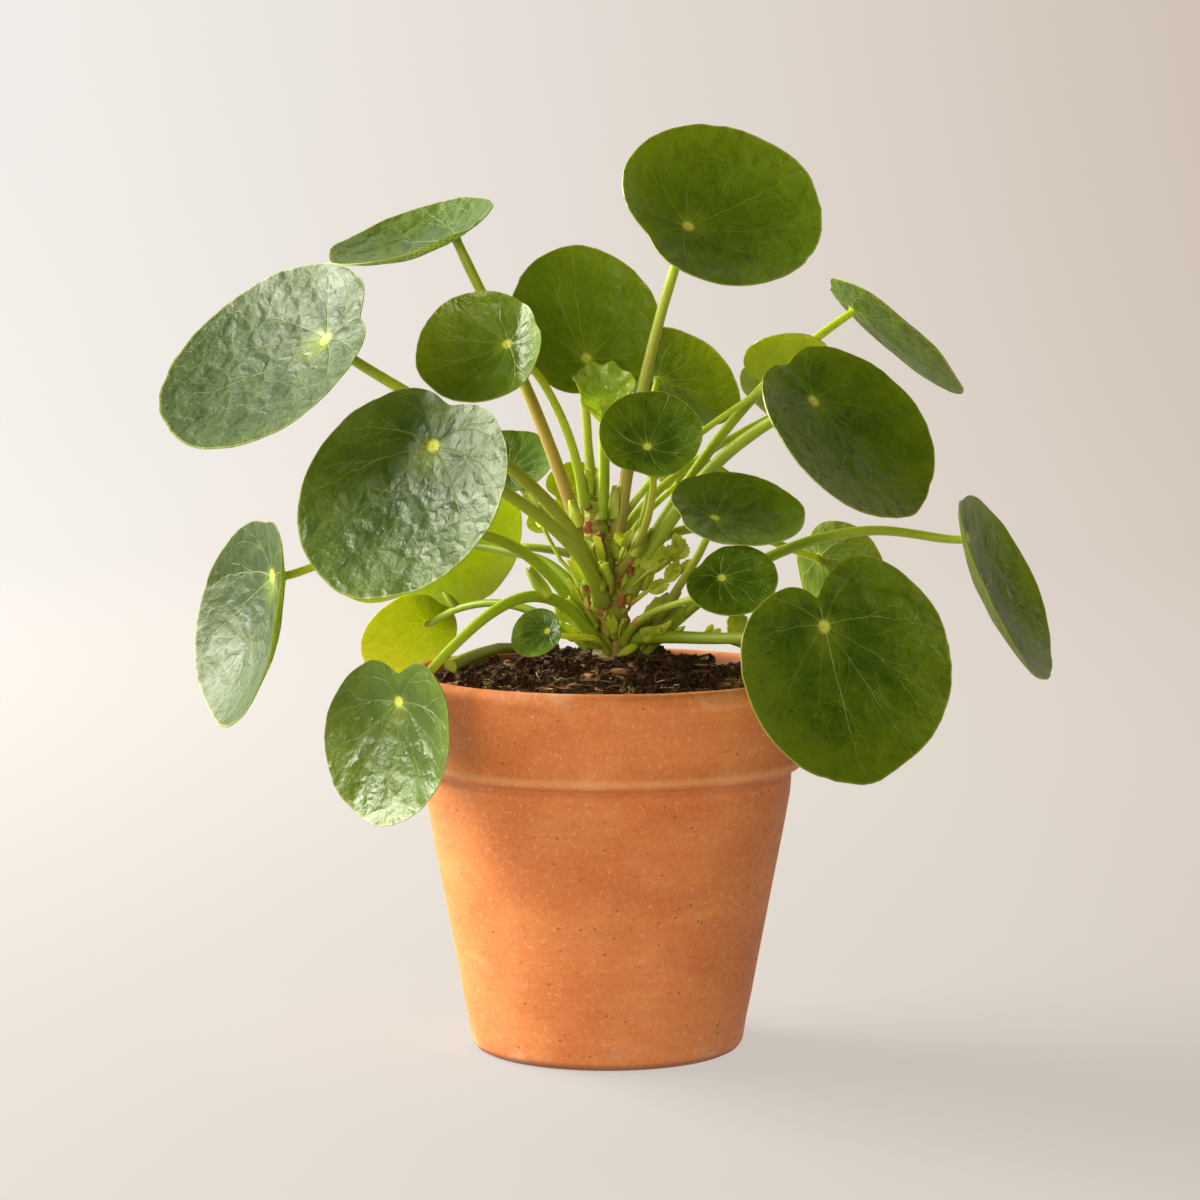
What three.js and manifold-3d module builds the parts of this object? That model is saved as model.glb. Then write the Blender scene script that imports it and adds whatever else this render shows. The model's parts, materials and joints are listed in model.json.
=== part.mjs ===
// Potted pilea: round peltate leaves on long stalks, a knobby trunk, soil and a plain terracotta pot.
// Millimetres, +Z up. The origin is the centre of the pot's underside, and the front of the plant is -Y.
import * as THREE from "three";
import { ConvexGeometry } from "three/addons/geometries/ConvexGeometry.js";
import { mergeVertices } from "three/addons/utils/BufferGeometryUtils.js";
import Module from "manifold-3d";

// Pot
const RIM_RADIUS = 70;
const RIM_HEIGHT = 129;
const BAND_BOTTOM_RADIUS = 65.8;
const BAND_BOTTOM_HEIGHT = 100;
const NECK_RADIUS = 63.7;
const NECK_HEIGHT = 97;
const FOOT_RADIUS = 45.3;
const FOOT_ROUND = 3.2;
const LIP_ROUND = 3.5;
const ROUND_SHOULDER = 0.3;
const MOUTH_ROUND = 1;
const MOUTH_RADIUS = 62.5;
const INNER_FLOOR_RADIUS = 38;
const FLOOR_THICKNESS = 9;
const DRAIN_HOLE_RADIUS = 7;
const POT_SIDES = 48;

// Clear gap between pieces that touch
const GAP = 0.3;

// Soil
const SOIL_EDGE_HEIGHT = 123;
const SOIL_CROWN_HEIGHT = 133;
const SOIL_LUMP = 1.1;
const SOIL_RINGS = 6;
const SOIL_MOUND_POWER = 1.3;
const SOIL_EDGE_BAND = 1;
const PLANTING_DEPTH = 26;

// Trunk
const TRUNK_TOP_HEIGHT = 186;
const TRUNK_FOOT_RADIUS = 8;
const TRUNK_TOP_RADIUS = 3.4;
const TRUNK_FOOT_AT = [3, 0];
const TRUNK_TOP_AT = [-5, 0];
const TRUNK_SIDES = 12;
const TRUNK_ROWS = 15;
const NODE_SWELL = 0.09;
const NODE_PITCH = 6.5;
const STIPULE_LENGTH = 6;
const STIPULE_WIDTH = 2.6;
const STIPULE_SIDES = 5;
const STIPULE_LEAN = 0.3;
const STIPULE_SINK = 0.5;
const CUSHION_CLEARANCE = 0.5;
const CUSHION_DROP = 4;
const CUSHION_CLEAR_OF_SOIL = 3;
const CUSHION_SIDES = 7;
const CUSHION_FACE_SHARE = 0.54;
const CUSHION_ROOT_SHARE = 0.4;

// Leaves. The outline's point and notch are taken by their angle round the spot, in radians, and
// their depth as a share of its reach.
const BLADE_THICKNESS = 0.8;
const NOTCH_WIDTH = 0.48;
const POINT_LENGTH = 0.025;
const POINT_WIDTH = 0.16;
const TOOTH_DEPTH = 0.012;
const QUILT_DEPTH = 0.28;
const BLADE_RINGS = [0, 0.4, 0.74, 1, 1, 0.74, 0.4, 0];
const LARGE_BLADE_SPOKES = 30;
const SMALL_BLADE_SPOKES = 22;
const LARGE_BLADE_WIDTH = 42;
const STALK_SIDES = 6;
const STALK_TIP_SHARE = 0.68;
const STALK_STEP = 12;
const STALK_FEWEST_STEPS = 5;
const STALK_MOST_STEPS = 11;
const SEED = 1907;

const RADIANS = Math.PI / 180;

// One entry a leaf.
// at: where the stalk meets the upper face; width: across the blade; face: bearing from the front and
// elevation of the upper face; roll: turn of the leaf point about that, from straight downhill;
// root: height of the stalk's foot on the trunk; climb: angle above level at which it sets out; swing:
// how far round from the straight line to its blade; reach: share of its length before it bends over;
// neck: length of the bend under the blade; stalk: foot diameter; cup and curl: how far the margin
// lifts and how far the sides fold up; notch: how deep the cut behind the spot is; hold: how far the
// spot is from the middle, in radii.
const leaves = [
  {
    id: "01", at: [-92, -45, 243], width: 81, face: [-41, 43], roll: -56,
    root: 160, climb: 79, swing: 35, reach: 0.3, neck: 11, stalk: 4.9,
    cup: 0.15, curl: -0.01, notch: 0.26, hold: 0.5,
  },
  {
    id: "02", at: [-56, -72, 210], width: 76, face: [-29, 30], roll: -14,
    root: 154, climb: 45, swing: 26, reach: 0.43, neck: 14, stalk: 5,
    cup: 0.12, curl: 0.02, notch: 0.26, hold: 0.49,
  },
  {
    id: "03", at: [-112, -20, 163], width: 71, face: [-65, 13], roll: 3,
    root: 144, climb: 62, swing: 15, reach: 0.7, neck: 16, stalk: 4.2,
    cup: 0.25, curl: 0.09, notch: 0.1, hold: 0.46,
  },
  {
    id: "04", at: [-68, -62, 126], width: 56, face: [-41, 9], roll: 1,
    root: 140, climb: 51, swing: 10, reach: 0.72, neck: 8, stalk: 4.4,
    cup: 0.2, curl: 0.15, notch: 0.42, hold: 0.43,
  },
  {
    id: "05", at: [-52, 25, 275], width: 60, face: [-54, 68], roll: -59,
    root: 173, climb: 68, swing: -14, reach: 0.45, neck: 5, stalk: 4.8,
    cup: 0.2, curl: 0.1, notch: 0.2, hold: 0.52,
  },
  {
    id: "06", at: [-33, -35, 241], width: 43, face: [-10, 34], roll: -66,
    root: 186, climb: 74, swing: 10, reach: 0.7, neck: 5, stalk: 3.4,
    cup: 0.18, curl: 0.07, notch: 0.13, hold: 0.41,
  },
  {
    id: "07", at: [-7, 12, 234], width: 54, face: [20, 19], roll: -180,
    root: 185, climb: 62, swing: -9, reach: 0.36, neck: 9, stalk: 3.8,
    cup: 0.08, curl: 0.08, notch: 0.15, hold: 0.46,
  },
  {
    id: "08", at: [27, -5, 279], width: 70, face: [16, 40], roll: 112,
    root: 176, climb: 82, swing: 2, reach: 0.59, neck: 12, stalk: 4.6,
    cup: 0.2, curl: 0.01, notch: 0.22, hold: 0.35,
  },
  {
    id: "09", at: [18, 34, 226], width: 46, face: [148, 39], roll: -64,
    root: 163, climb: 46, swing: -27, reach: 0.4, neck: 12, stalk: 3.6,
    cup: 0.15, curl: 0.06, notch: 0.25, hold: 0.25,
  },
  {
    id: "10", at: [13, -45, 208], width: 34, face: [0, 36], roll: 162,
    root: 163, climb: 46, swing: 32, reach: 0.55, neck: 5, stalk: 3,
    cup: 0.1, curl: 0.1, notch: 0.18, hold: 0.21,
  },
  {
    id: "11", at: [85, 30, 250], width: 60, face: [105, 48], roll: -24,
    root: 159, climb: 61, swing: -4, reach: 0.68, neck: 7, stalk: 4,
    cup: 0.07, curl: 0.03, notch: 0.15, hold: 0.55,
  },
  {
    id: "12", at: [68, -30, 222], width: 69, face: [41, 37], roll: 20,
    root: 157, climb: 63, swing: 8, reach: 0.72, neck: 7, stalk: 5,
    cup: 0.09, curl: 0.1, notch: 0.22, hold: 0.44,
  },
  {
    id: "13", at: [62, 4, 233], width: 30, face: [182, 51], roll: 121,
    root: 176, climb: 56, swing: 18, reach: 0.56, neck: 7, stalk: 2.6,
    cup: 0.04, curl: 0.02, notch: 0.17, hold: 0.1,
  },
  {
    id: "14", at: [122, 0, 174], width: 68, face: [72, 25], roll: 3,
    root: 136, climb: 45, swing: 5, reach: 0.75, neck: 11, stalk: 4.2,
    cup: 0.2, curl: 0.07, notch: 0.12, hold: 0.58,
  },
  {
    id: "15", at: [70, -66, 151], width: 79, face: [27, 18], roll: 8,
    root: 141, climb: 4, swing: 5, reach: 0.46, neck: 24, stalk: 4.6,
    cup: 0.08, curl: 0.13, notch: 0.6, hold: 0.33,
  },
  {
    id: "16", at: [35, -48, 185], width: 45, face: [14, 62], roll: 95,
    root: 138, climb: 56, swing: 38, reach: 0.55, neck: 5, stalk: 3.2,
    cup: 0.12, curl: 0.03, notch: 0.2, hold: 0.33,
  },
  {
    id: "17", at: [37, -55, 166], width: 30, face: [-9, 46], roll: 53,
    root: 140, climb: 48, swing: -10, reach: 0.38, neck: 13, stalk: 3,
    cup: 0.12, curl: 0.06, notch: 0.15, hold: 0.33,
  },
  {
    id: "18", at: [75, 55, 162], width: 43, face: [132, 8], roll: -38,
    root: 156, climb: 67, swing: 7, reach: 0.53, neck: 7, stalk: 3.8,
    cup: 0.06, curl: 0.18, notch: 0.2, hold: 0.48,
  },
  {
    id: "19", at: [-63, 38, 141], width: 36, face: [-154, 26], roll: 33,
    root: 137, climb: 41, swing: 17, reach: 0.68, neck: 5, stalk: 3.2,
    cup: 0.12, curl: 0, notch: 0.15, hold: 0.46,
  },
  {
    id: "20", at: [-53, 38, 170], width: 54, face: [-146, 26], roll: -43,
    root: 150, climb: 58, swing: -1, reach: 0.5, neck: 10, stalk: 3.8,
    cup: 0.13, curl: 0.15, notch: 0.2, hold: 0.28,
  },
  {
    id: "21", at: [-34, 24, 196], width: 31, face: [-10, 50], roll: 160,
    root: 167, climb: 50, swing: 24, reach: 0.46, neck: 7, stalk: 2.6,
    cup: 0.1, curl: 0.1, notch: 0.1, hold: 0.1,
  },
  {
    id: "22", at: [-20, -41, 147], width: 18, face: [-24, 33], roll: -63,
    root: 137, climb: 52, swing: 11, reach: 0.29, neck: 7, stalk: 2.4,
    cup: 0.1, curl: 0.08, notch: 0.18, hold: 0.38,
  },
  {
    id: "23", at: [-78, 81, 163], width: 46, face: [-140, 35], roll: -50,
    root: 146, climb: 28, swing: -50, reach: 0.66, neck: 8, stalk: 3.4,
    cup: 0.12, curl: 0.1, notch: 0.2, hold: 0.4,
  },
  {
    id: "24", at: [25, 50, 190], width: 33, face: [148, 50], roll: -65,
    root: 160, climb: 62, swing: -4, reach: 0.53, neck: 9, stalk: 2.8,
    cup: 0.08, curl: 0.05, notch: 0.2, hold: 0.44,
  },
  {
    id: "25", at: [68, 60, 219], width: 42, face: [150, 50], roll: 86,
    root: 169, climb: 48, swing: 14, reach: 0.45, neck: 9, stalk: 3.2,
    cup: 0.05, curl: -0.05, notch: 0.12, hold: 0.1,
  },
  {
    id: "26", at: [-14, 50, 187], width: 20, face: [-172, 38], roll: -130,
    root: 160, climb: 55, swing: 0, reach: 0.45, neck: 6, stalk: 2.6,
    cup: 0.06, curl: 0.02, notch: 0.2, hold: 0.3,
  },
  {
    id: "27", at: [-20, 66, 175], width: 16, face: [-154, 38], roll: 110,
    root: 152, climb: 55, swing: 0, reach: 0.45, neck: 5, stalk: 2.4,
    cup: 0.06, curl: 0.05, notch: 0.18, hold: 0.14,
  },
  {
    id: "28", at: [-6, 84, 237], width: 42, face: [180, 32], roll: -170,
    root: 173, climb: 68, swing: -13, reach: 0.51, neck: 10, stalk: 3.6,
    cup: 0.08, curl: 0.05, notch: 0.2, hold: 0.38,
  },
];

// The youngest leaf is still crumpled and grows in one piece with its stalk.
const youngLeaf = {
  id: "young", at: [-1.5, 3, 219], width: 19, face: [12, 24], roll: 176,
  root: 182, climb: 84, swing: -110, reach: 0.4, neck: 6, stalk: 3,
  cup: 0.1, curl: 0.4, notch: 0.1, hold: 0.4,
};

// Papery stipules left on the trunk, by height and bearing.
const stipules = [
  [143, 5],
  [150, -10],
  [152, 60],
  [158, 20],
  [166, 8],
  [172, -20],
  [148, 165],
  [165, -165],
];

function seededDraws(seed) {
  let state = seed;
  return () => {
    state = (state * 1664525 + 1013904223) % 4294967296;
    return state / 4294967296;
  };
}

const wasm = await Module();
wasm.setup();

function toSolid(geometry) {
  const bare = new THREE.BufferGeometry();
  bare.setAttribute("position", geometry.getAttribute("position"));
  if (geometry.index) {
    bare.setIndex(geometry.index);
  }
  const merged = mergeVertices(bare, 1e-3);
  return new wasm.Manifold(
    new wasm.Mesh({
      numProp: 3,
      vertProperties: merged.attributes.position.array,
      triVerts: new Uint32Array(merged.index.array),
    }),
  );
}

function toGeometry(solid) {
  const cut = solid.getMesh();
  const geometry = new THREE.BufferGeometry();
  geometry.setAttribute("position", new THREE.BufferAttribute(cut.vertProperties, 3));
  geometry.setIndex(new THREE.BufferAttribute(cut.triVerts, 1));
  geometry.computeVertexNormals();
  return geometry;
}

function material(colour, roughness) {
  return new THREE.MeshStandardMaterial({ color: colour, roughness, metalness: 0, flatShading: true });
}

const terracotta = material(0xc9794a, 0.85);
const peat = material(0x3a2618, 1);
const bark = material(0x7f7a34, 0.7);
const stalkGreen = material(0x95a136, 0.5);
const leafGreen = material(0x4e7d2c, 0.4);
const youngGreen = material(0x9db54a, 0.45);

const plant = new THREE.Group();
plant.name = "potted_pilea";

function addMesh(name, geometry, look) {
  const mesh = new THREE.Mesh(geometry, look);
  mesh.name = name;
  plant.add(mesh);
  return mesh;
}

// Pot: one thrown wall with a deep rim band, a rounded lip and foot, and a drain hole.
function potGeometry() {
  const profile = [
    [DRAIN_HOLE_RADIUS, 0],
    [FOOT_RADIUS - FOOT_ROUND, 0],
    [FOOT_RADIUS - ROUND_SHOULDER * FOOT_ROUND, ROUND_SHOULDER * FOOT_ROUND],
    [FOOT_RADIUS, FOOT_ROUND],
    [NECK_RADIUS, NECK_HEIGHT],
    [BAND_BOTTOM_RADIUS, BAND_BOTTOM_HEIGHT],
    [RIM_RADIUS, RIM_HEIGHT - LIP_ROUND],
    [RIM_RADIUS - ROUND_SHOULDER * LIP_ROUND, RIM_HEIGHT - ROUND_SHOULDER * LIP_ROUND],
    [RIM_RADIUS - LIP_ROUND, RIM_HEIGHT],
    [MOUTH_RADIUS + MOUTH_ROUND, RIM_HEIGHT - MOUTH_ROUND],
    [MOUTH_RADIUS, RIM_HEIGHT - LIP_ROUND],
    [INNER_FLOOR_RADIUS, FLOOR_THICKNESS],
    [DRAIN_HOLE_RADIUS, FLOOR_THICKNESS],
    [DRAIN_HOLE_RADIUS, 0],
  ];
  const points = profile.map(([r, z]) => new THREE.Vector2(r, z));
  const lathe = new THREE.LatheGeometry(points, POT_SIDES);
  lathe.rotateX(Math.PI / 2);
  return lathe;
}

addMesh("pot", potGeometry(), terracotta);

// Soil: fills the pot up to just under the lip and mounds up round the trunk.
function potInnerRadius(height) {
  const share = (height - FLOOR_THICKNESS) / (RIM_HEIGHT - LIP_ROUND - FLOOR_THICKNESS);
  return INNER_FLOOR_RADIUS + share * (MOUTH_RADIUS - INNER_FLOOR_RADIUS);
}

function soilTop(share) {
  const mound = Math.pow(Math.cos((share * Math.PI) / 2), SOIL_MOUND_POWER);
  return SOIL_EDGE_HEIGHT + (SOIL_CROWN_HEIGHT - SOIL_EDGE_HEIGHT) * mound;
}

function soilGeometry() {
  const draw = seededDraws(SEED);
  const bottom = FLOOR_THICKNESS + GAP;
  const bottomRadius = potInnerRadius(bottom) - GAP;
  const topRadius = potInnerRadius(SOIL_EDGE_HEIGHT) - GAP;
  const points = [new THREE.Vector2(0, bottom), new THREE.Vector2(bottomRadius, bottom)];
  for (let ring = SOIL_RINGS; ring >= 0; ring -= 1) {
    const share = ring / SOIL_RINGS;
    points.push(new THREE.Vector2(topRadius * share, soilTop(share)));
  }
  const lathe = new THREE.LatheGeometry(points, POT_SIDES);
  lathe.rotateX(Math.PI / 2);
  const merged = mergeVertices(lathe.deleteAttribute("uv").deleteAttribute("normal"), 1e-3);
  const position = merged.getAttribute("position");
  for (let i = 0; i < position.count; i += 1) {
    const radius = Math.hypot(position.getX(i), position.getY(i));
    const onTop = position.getZ(i) > SOIL_EDGE_HEIGHT - SOIL_EDGE_BAND;
    if (onTop && radius < topRadius - SOIL_EDGE_BAND) {
      position.setZ(i, position.getZ(i) + SOIL_LUMP * (2 * draw() - 1));
    }
  }
  return merged;
}

function trunkPoint(height) {
  const share = (height - SOIL_CROWN_HEIGHT) / (TRUNK_TOP_HEIGHT - SOIL_CROWN_HEIGHT);
  const along = THREE.MathUtils.clamp(share, 0, 1);
  const x = THREE.MathUtils.lerp(TRUNK_FOOT_AT[0], TRUNK_TOP_AT[0], along);
  const y = THREE.MathUtils.lerp(TRUNK_FOOT_AT[1], TRUNK_TOP_AT[1], along);
  return new THREE.Vector3(x, y, height);
}

function trunkRadius(height) {
  const share = (height - SOIL_CROWN_HEIGHT) / (TRUNK_TOP_HEIGHT - SOIL_CROWN_HEIGHT);
  const along = THREE.MathUtils.clamp(share, 0, 1);
  return THREE.MathUtils.lerp(TRUNK_FOOT_RADIUS, TRUNK_TOP_RADIUS, along);
}

const plantingFoot = SOIL_CROWN_HEIGHT - PLANTING_DEPTH;
const hole = new THREE.CylinderGeometry(
  TRUNK_FOOT_RADIUS + GAP,
  TRUNK_FOOT_RADIUS + GAP,
  2 * PLANTING_DEPTH,
  2 * TRUNK_SIDES,
);
hole.rotateX(Math.PI / 2);
hole.translate(TRUNK_FOOT_AT[0], TRUNK_FOOT_AT[1], plantingFoot + PLANTING_DEPTH);
const soil = toSolid(soilGeometry()).subtract(toSolid(hole));
addMesh("soil", toGeometry(soil), peat);

// Where a stalk leaves the trunk, and the way it sets out.
function bearing(azimuth, elevation) {
  const level = Math.cos(elevation * RADIANS);
  return new THREE.Vector3(
    level * Math.sin(azimuth * RADIANS),
    -level * Math.cos(azimuth * RADIANS),
    Math.sin(elevation * RADIANS),
  );
}

function outward(leaf) {
  const root = trunkPoint(leaf.root);
  return Math.atan2(leaf.at[0] - root.x, root.y - leaf.at[1]) / RADIANS + leaf.swing;
}

function settingOut(leaf) {
  return bearing(outward(leaf), leaf.climb);
}

function stalkFoot(leaf) {
  const reach = trunkRadius(leaf.root) + leaf.stalk / 2 + CUSHION_CLEARANCE;
  return trunkPoint(leaf.root).addScaledVector(bearing(outward(leaf), 0), reach);
}

// Trunk: swollen at each old leaf scar, with a cushion under every stalk.
function trunkGeometry() {
  const height = TRUNK_TOP_HEIGHT - plantingFoot;
  const stem = new THREE.CylinderGeometry(1, 1, height, TRUNK_SIDES, TRUNK_ROWS);
  stem.rotateX(Math.PI / 2);
  stem.translate(0, 0, plantingFoot + height / 2);
  const position = stem.getAttribute("position");
  for (let i = 0; i < position.count; i += 1) {
    const z = position.getZ(i);
    const axis = trunkPoint(z);
    const swell = z < SOIL_CROWN_HEIGHT ? 0 : NODE_SWELL * Math.sin((2 * Math.PI * z) / NODE_PITCH);
    const radius = trunkRadius(z) * (1 - Math.abs(swell));
    position.setXY(i, axis.x + radius * position.getX(i), axis.y + radius * position.getY(i));
  }
  let trunk = toSolid(stem);
  for (const [height, azimuth] of stipules) {
    const stipule = new THREE.ConeGeometry(STIPULE_WIDTH / 2, STIPULE_LENGTH, STIPULE_SIDES);
    stipule.rotateX(Math.PI / 2 - STIPULE_LEAN);
    stipule.translate(0, STIPULE_SINK - trunkRadius(height), 0);
    stipule.rotateZ(azimuth * RADIANS);
    const axis = trunkPoint(height);
    stipule.translate(axis.x, axis.y, axis.z);
    trunk = trunk.add(toSolid(stipule));
  }
  for (const leaf of [...leaves, youngLeaf]) {
    const away = settingOut(leaf);
    const level = bearing(outward(leaf) + 90, 0);
    const up = new THREE.Vector3().crossVectors(level, away);
    const foot = stalkFoot(leaf);
    const lowest = SOIL_CROWN_HEIGHT + CUSHION_CLEAR_OF_SOIL;
    const buried = trunkPoint(Math.max(leaf.root - CUSHION_DROP, lowest));
    const corners = [];
    for (let side = 0; side < CUSHION_SIDES; side += 1) {
      const angle = (2 * Math.PI * side) / CUSHION_SIDES;
      const across = level.clone().multiplyScalar(Math.cos(angle)).addScaledVector(up, Math.sin(angle));
      corners.push(foot.clone().addScaledVector(across, CUSHION_FACE_SHARE * leaf.stalk));
      corners.push(buried.clone().addScaledVector(across, CUSHION_ROOT_SHARE * leaf.stalk));
    }
    trunk = trunk.add(toSolid(new ConvexGeometry(corners)));
  }
  return toGeometry(trunk);
}

addMesh("trunk", trunkGeometry(), bark);

// Leaf stalk: a tapering tube from the cushion on the trunk to the underside of the blade.
function leafAxes(leaf) {
  const normal = bearing(leaf.face[0], leaf.face[1]);
  const downhill = new THREE.Vector3(0, 0, -1).addScaledVector(normal, normal.z).normalize();
  const side = new THREE.Vector3().crossVectors(normal, downhill);
  const point = new THREE.Vector3()
    .addScaledVector(downhill, Math.cos(leaf.roll * RADIANS))
    .addScaledVector(side, Math.sin(leaf.roll * RADIANS));
  return { normal, point, across: new THREE.Vector3().crossVectors(normal, point) };
}

function stalkCurve(leaf, clearance) {
  const { normal } = leafAxes(leaf);
  const away = settingOut(leaf);
  const start = stalkFoot(leaf).addScaledVector(away, GAP);
  const end = new THREE.Vector3(...leaf.at).addScaledVector(normal, -clearance);
  const span = start.distanceTo(end);
  return new THREE.CubicBezierCurve3(
    start,
    start.clone().addScaledVector(away, leaf.reach * span),
    end.clone().addScaledVector(normal, -leaf.neck),
    end,
  );
}

function stalkGeometry(leaf, clearance) {
  const curve = stalkCurve(leaf, clearance);
  const wanted = Math.round(curve.getLength() / STALK_STEP);
  const steps = THREE.MathUtils.clamp(wanted, STALK_FEWEST_STEPS, STALK_MOST_STEPS);
  const section = new THREE.Shape();
  for (let side = 0; side < STALK_SIDES; side += 1) {
    const angle = (2 * Math.PI * side) / STALK_SIDES;
    const x = (leaf.stalk / 2) * Math.cos(angle);
    const y = (leaf.stalk / 2) * Math.sin(angle);
    if (side === 0) {
      section.moveTo(x, y);
    } else {
      section.lineTo(x, y);
    }
  }
  const tube = new THREE.ExtrudeGeometry(section, { steps, extrudePath: curve, bevelEnabled: false });
  const middles = curve.getSpacedPoints(steps);
  const position = tube.getAttribute("position");
  const corner = new THREE.Vector3();
  for (let i = 0; i < position.count; i += 1) {
    corner.fromBufferAttribute(position, i);
    let nearest = 0;
    for (let step = 1; step <= steps; step += 1) {
      if (corner.distanceTo(middles[step]) < corner.distanceTo(middles[nearest])) {
        nearest = step;
      }
    }
    const taper = THREE.MathUtils.lerp(1, STALK_TIP_SHARE, nearest / steps);
    corner.sub(middles[nearest]).multiplyScalar(taper).add(middles[nearest]);
    position.setXYZ(i, corner.x, corner.y, corner.z);
  }
  tube.computeVertexNormals();
  return tube;
}

// Leaf blade: nearly round, held from below away from its middle, notched behind the pale spot,
// with scalloped margins, lifted sides and a quilted surface. Both faces follow one surface.
function bladeOutline(leaf, angle) {
  const radius = leaf.width / 2;
  const offset = leaf.hold * radius;
  const sine = offset * Math.sin(angle);
  const circle = offset * Math.cos(angle) + Math.sqrt(radius * radius - sine * sine);
  const fromNotch = Math.PI - Math.abs(angle);
  const cut = 1 - leaf.notch * Math.exp(-((fromNotch / NOTCH_WIDTH) ** 2));
  const tip = 1 + POINT_LENGTH * Math.exp(-((angle / POINT_WIDTH) ** 2));
  return circle * cut * tip;
}

function bladeLift(leaf, x, y) {
  const radius = leaf.width / 2;
  const offset = leaf.hold * radius;
  const cup = ((x - offset) ** 2 + y * y - offset * offset) / (radius * radius);
  const curl = (y / radius) ** 2;
  return radius * (leaf.cup * cup + leaf.curl * curl);
}

function bladeGeometry(leaf, index) {
  const draw = seededDraws(SEED + 31 * index);
  const spokes = leaf.width > LARGE_BLADE_WIDTH ? LARGE_BLADE_SPOKES : SMALL_BLADE_SPOKES;
  const rows = BLADE_RINGS.length - 1;
  const lumps = BLADE_RINGS.map(() => Array.from({ length: spokes }, () => 2 * draw() - 1));
  const blade = new THREE.SphereGeometry(1, spokes, rows);
  const position = blade.getAttribute("position");
  for (let i = 0; i < position.count; i += 1) {
    const row = Math.round((Math.acos(THREE.MathUtils.clamp(position.getY(i), -1, 1)) / Math.PI) * rows);
    const polar = Math.atan2(-position.getZ(i), position.getX(i));
    const spoke = (Math.round((polar / (2 * Math.PI)) * spokes) + spokes) % spokes;
    const angle = ((spoke > spokes / 2 ? spoke - spokes : spoke) * 2 * Math.PI) / spokes;
    const ring = BLADE_RINGS[row];
    const face = row < BLADE_RINGS.length / 2 ? row : rows - row;
    const scallop = ring === 1 && spoke % 2 === 1 ? 1 - TOOTH_DEPTH : 1;
    const reach = bladeOutline(leaf, angle) * ring * scallop;
    const x = reach * Math.cos(angle);
    const y = reach * Math.sin(angle);
    const quilt = face === 0 ? 0 : QUILT_DEPTH * lumps[face][spoke];
    const under = row < BLADE_RINGS.length / 2 ? 0 : BLADE_THICKNESS;
    position.setXYZ(i, x, y, bladeLift(leaf, x, y) + quilt - under);
  }
  const merged = mergeVertices(blade.deleteAttribute("uv").deleteAttribute("normal"), 1e-3);
  merged.computeVertexNormals();
  return merged;
}

function placeBlade(blade, leaf) {
  const { point, across, normal } = leafAxes(leaf);
  blade.quaternion.setFromRotationMatrix(new THREE.Matrix4().makeBasis(point, across, normal));
  blade.position.set(...leaf.at);
  blade.updateMatrix();
}

leaves.forEach((leaf, index) => {
  addMesh("leaf_" + leaf.id + "_stalk", stalkGeometry(leaf, BLADE_THICKNESS + GAP), stalkGreen);
  placeBlade(addMesh("leaf_" + leaf.id + "_blade", bladeGeometry(leaf, index), leafGreen), leaf);
});

// Young leaf: blade and stalk joined.
const youngBlade = new THREE.Mesh(bladeGeometry(youngLeaf, leaves.length));
placeBlade(youngBlade, youngLeaf);
const youngSolid = toSolid(youngBlade.geometry.applyMatrix4(youngBlade.matrix)).add(
  toSolid(stalkGeometry(youngLeaf, BLADE_THICKNESS / 2)),
);
addMesh("young_leaf", toGeometry(youngSolid), youngGreen);

export default plant;
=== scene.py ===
import json
import math
import random
from collections import namedtuple

import bpy
import numpy as np
from mathutils import Matrix, Vector, noise
from mathutils.bvhtree import BVHTree

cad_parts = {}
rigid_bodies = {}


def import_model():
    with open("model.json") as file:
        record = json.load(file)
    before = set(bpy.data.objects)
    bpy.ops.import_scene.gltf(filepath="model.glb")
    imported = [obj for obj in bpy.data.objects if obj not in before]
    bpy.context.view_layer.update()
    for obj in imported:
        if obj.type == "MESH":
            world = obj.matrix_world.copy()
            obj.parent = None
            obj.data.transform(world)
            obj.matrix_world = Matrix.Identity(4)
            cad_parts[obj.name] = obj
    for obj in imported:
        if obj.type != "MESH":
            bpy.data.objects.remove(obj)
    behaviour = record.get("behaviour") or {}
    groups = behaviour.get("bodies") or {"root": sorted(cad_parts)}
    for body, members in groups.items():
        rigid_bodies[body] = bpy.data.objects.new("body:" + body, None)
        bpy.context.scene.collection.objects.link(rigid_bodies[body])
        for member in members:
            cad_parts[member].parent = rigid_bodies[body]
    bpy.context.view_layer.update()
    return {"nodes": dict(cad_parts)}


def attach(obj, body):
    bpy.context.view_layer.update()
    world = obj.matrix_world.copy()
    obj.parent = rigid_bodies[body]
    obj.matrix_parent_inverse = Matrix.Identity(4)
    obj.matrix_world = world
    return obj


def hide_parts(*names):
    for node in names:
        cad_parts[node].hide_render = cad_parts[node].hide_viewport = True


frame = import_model()

# Camera, backdrop and lights
# A long lens looks slightly down on the plant from its front, over a pale sweep of paper that runs
# up behind it. A wide soft window stands on the left, a second soft light stands behind on that
# side, and a weak warm light in front and the pale room fill in the shade.

CAMERA_PLACE, CAMERA_DIP, CAMERA_LENS = (-0.0025, -1.446, 0.303), 5.93, 128.88
FLOOR_WIDE, FLOOR_DEEP, FLOOR_MIDDLE = 14, 7, -1.7
CURVE_STEPS, CURVE_STEP, WALL_HEIGHT = 12, 0.17, 4
PAPER, PAPER_LIT, PAPER_SHADED = (0.09, 0.086, 0.082, 1), (0.785, 0.765, 0.735), (0.51, 0.425, 0.36)


def deselect():
    bpy.ops.object.select_all(action="DESELECT")


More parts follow.
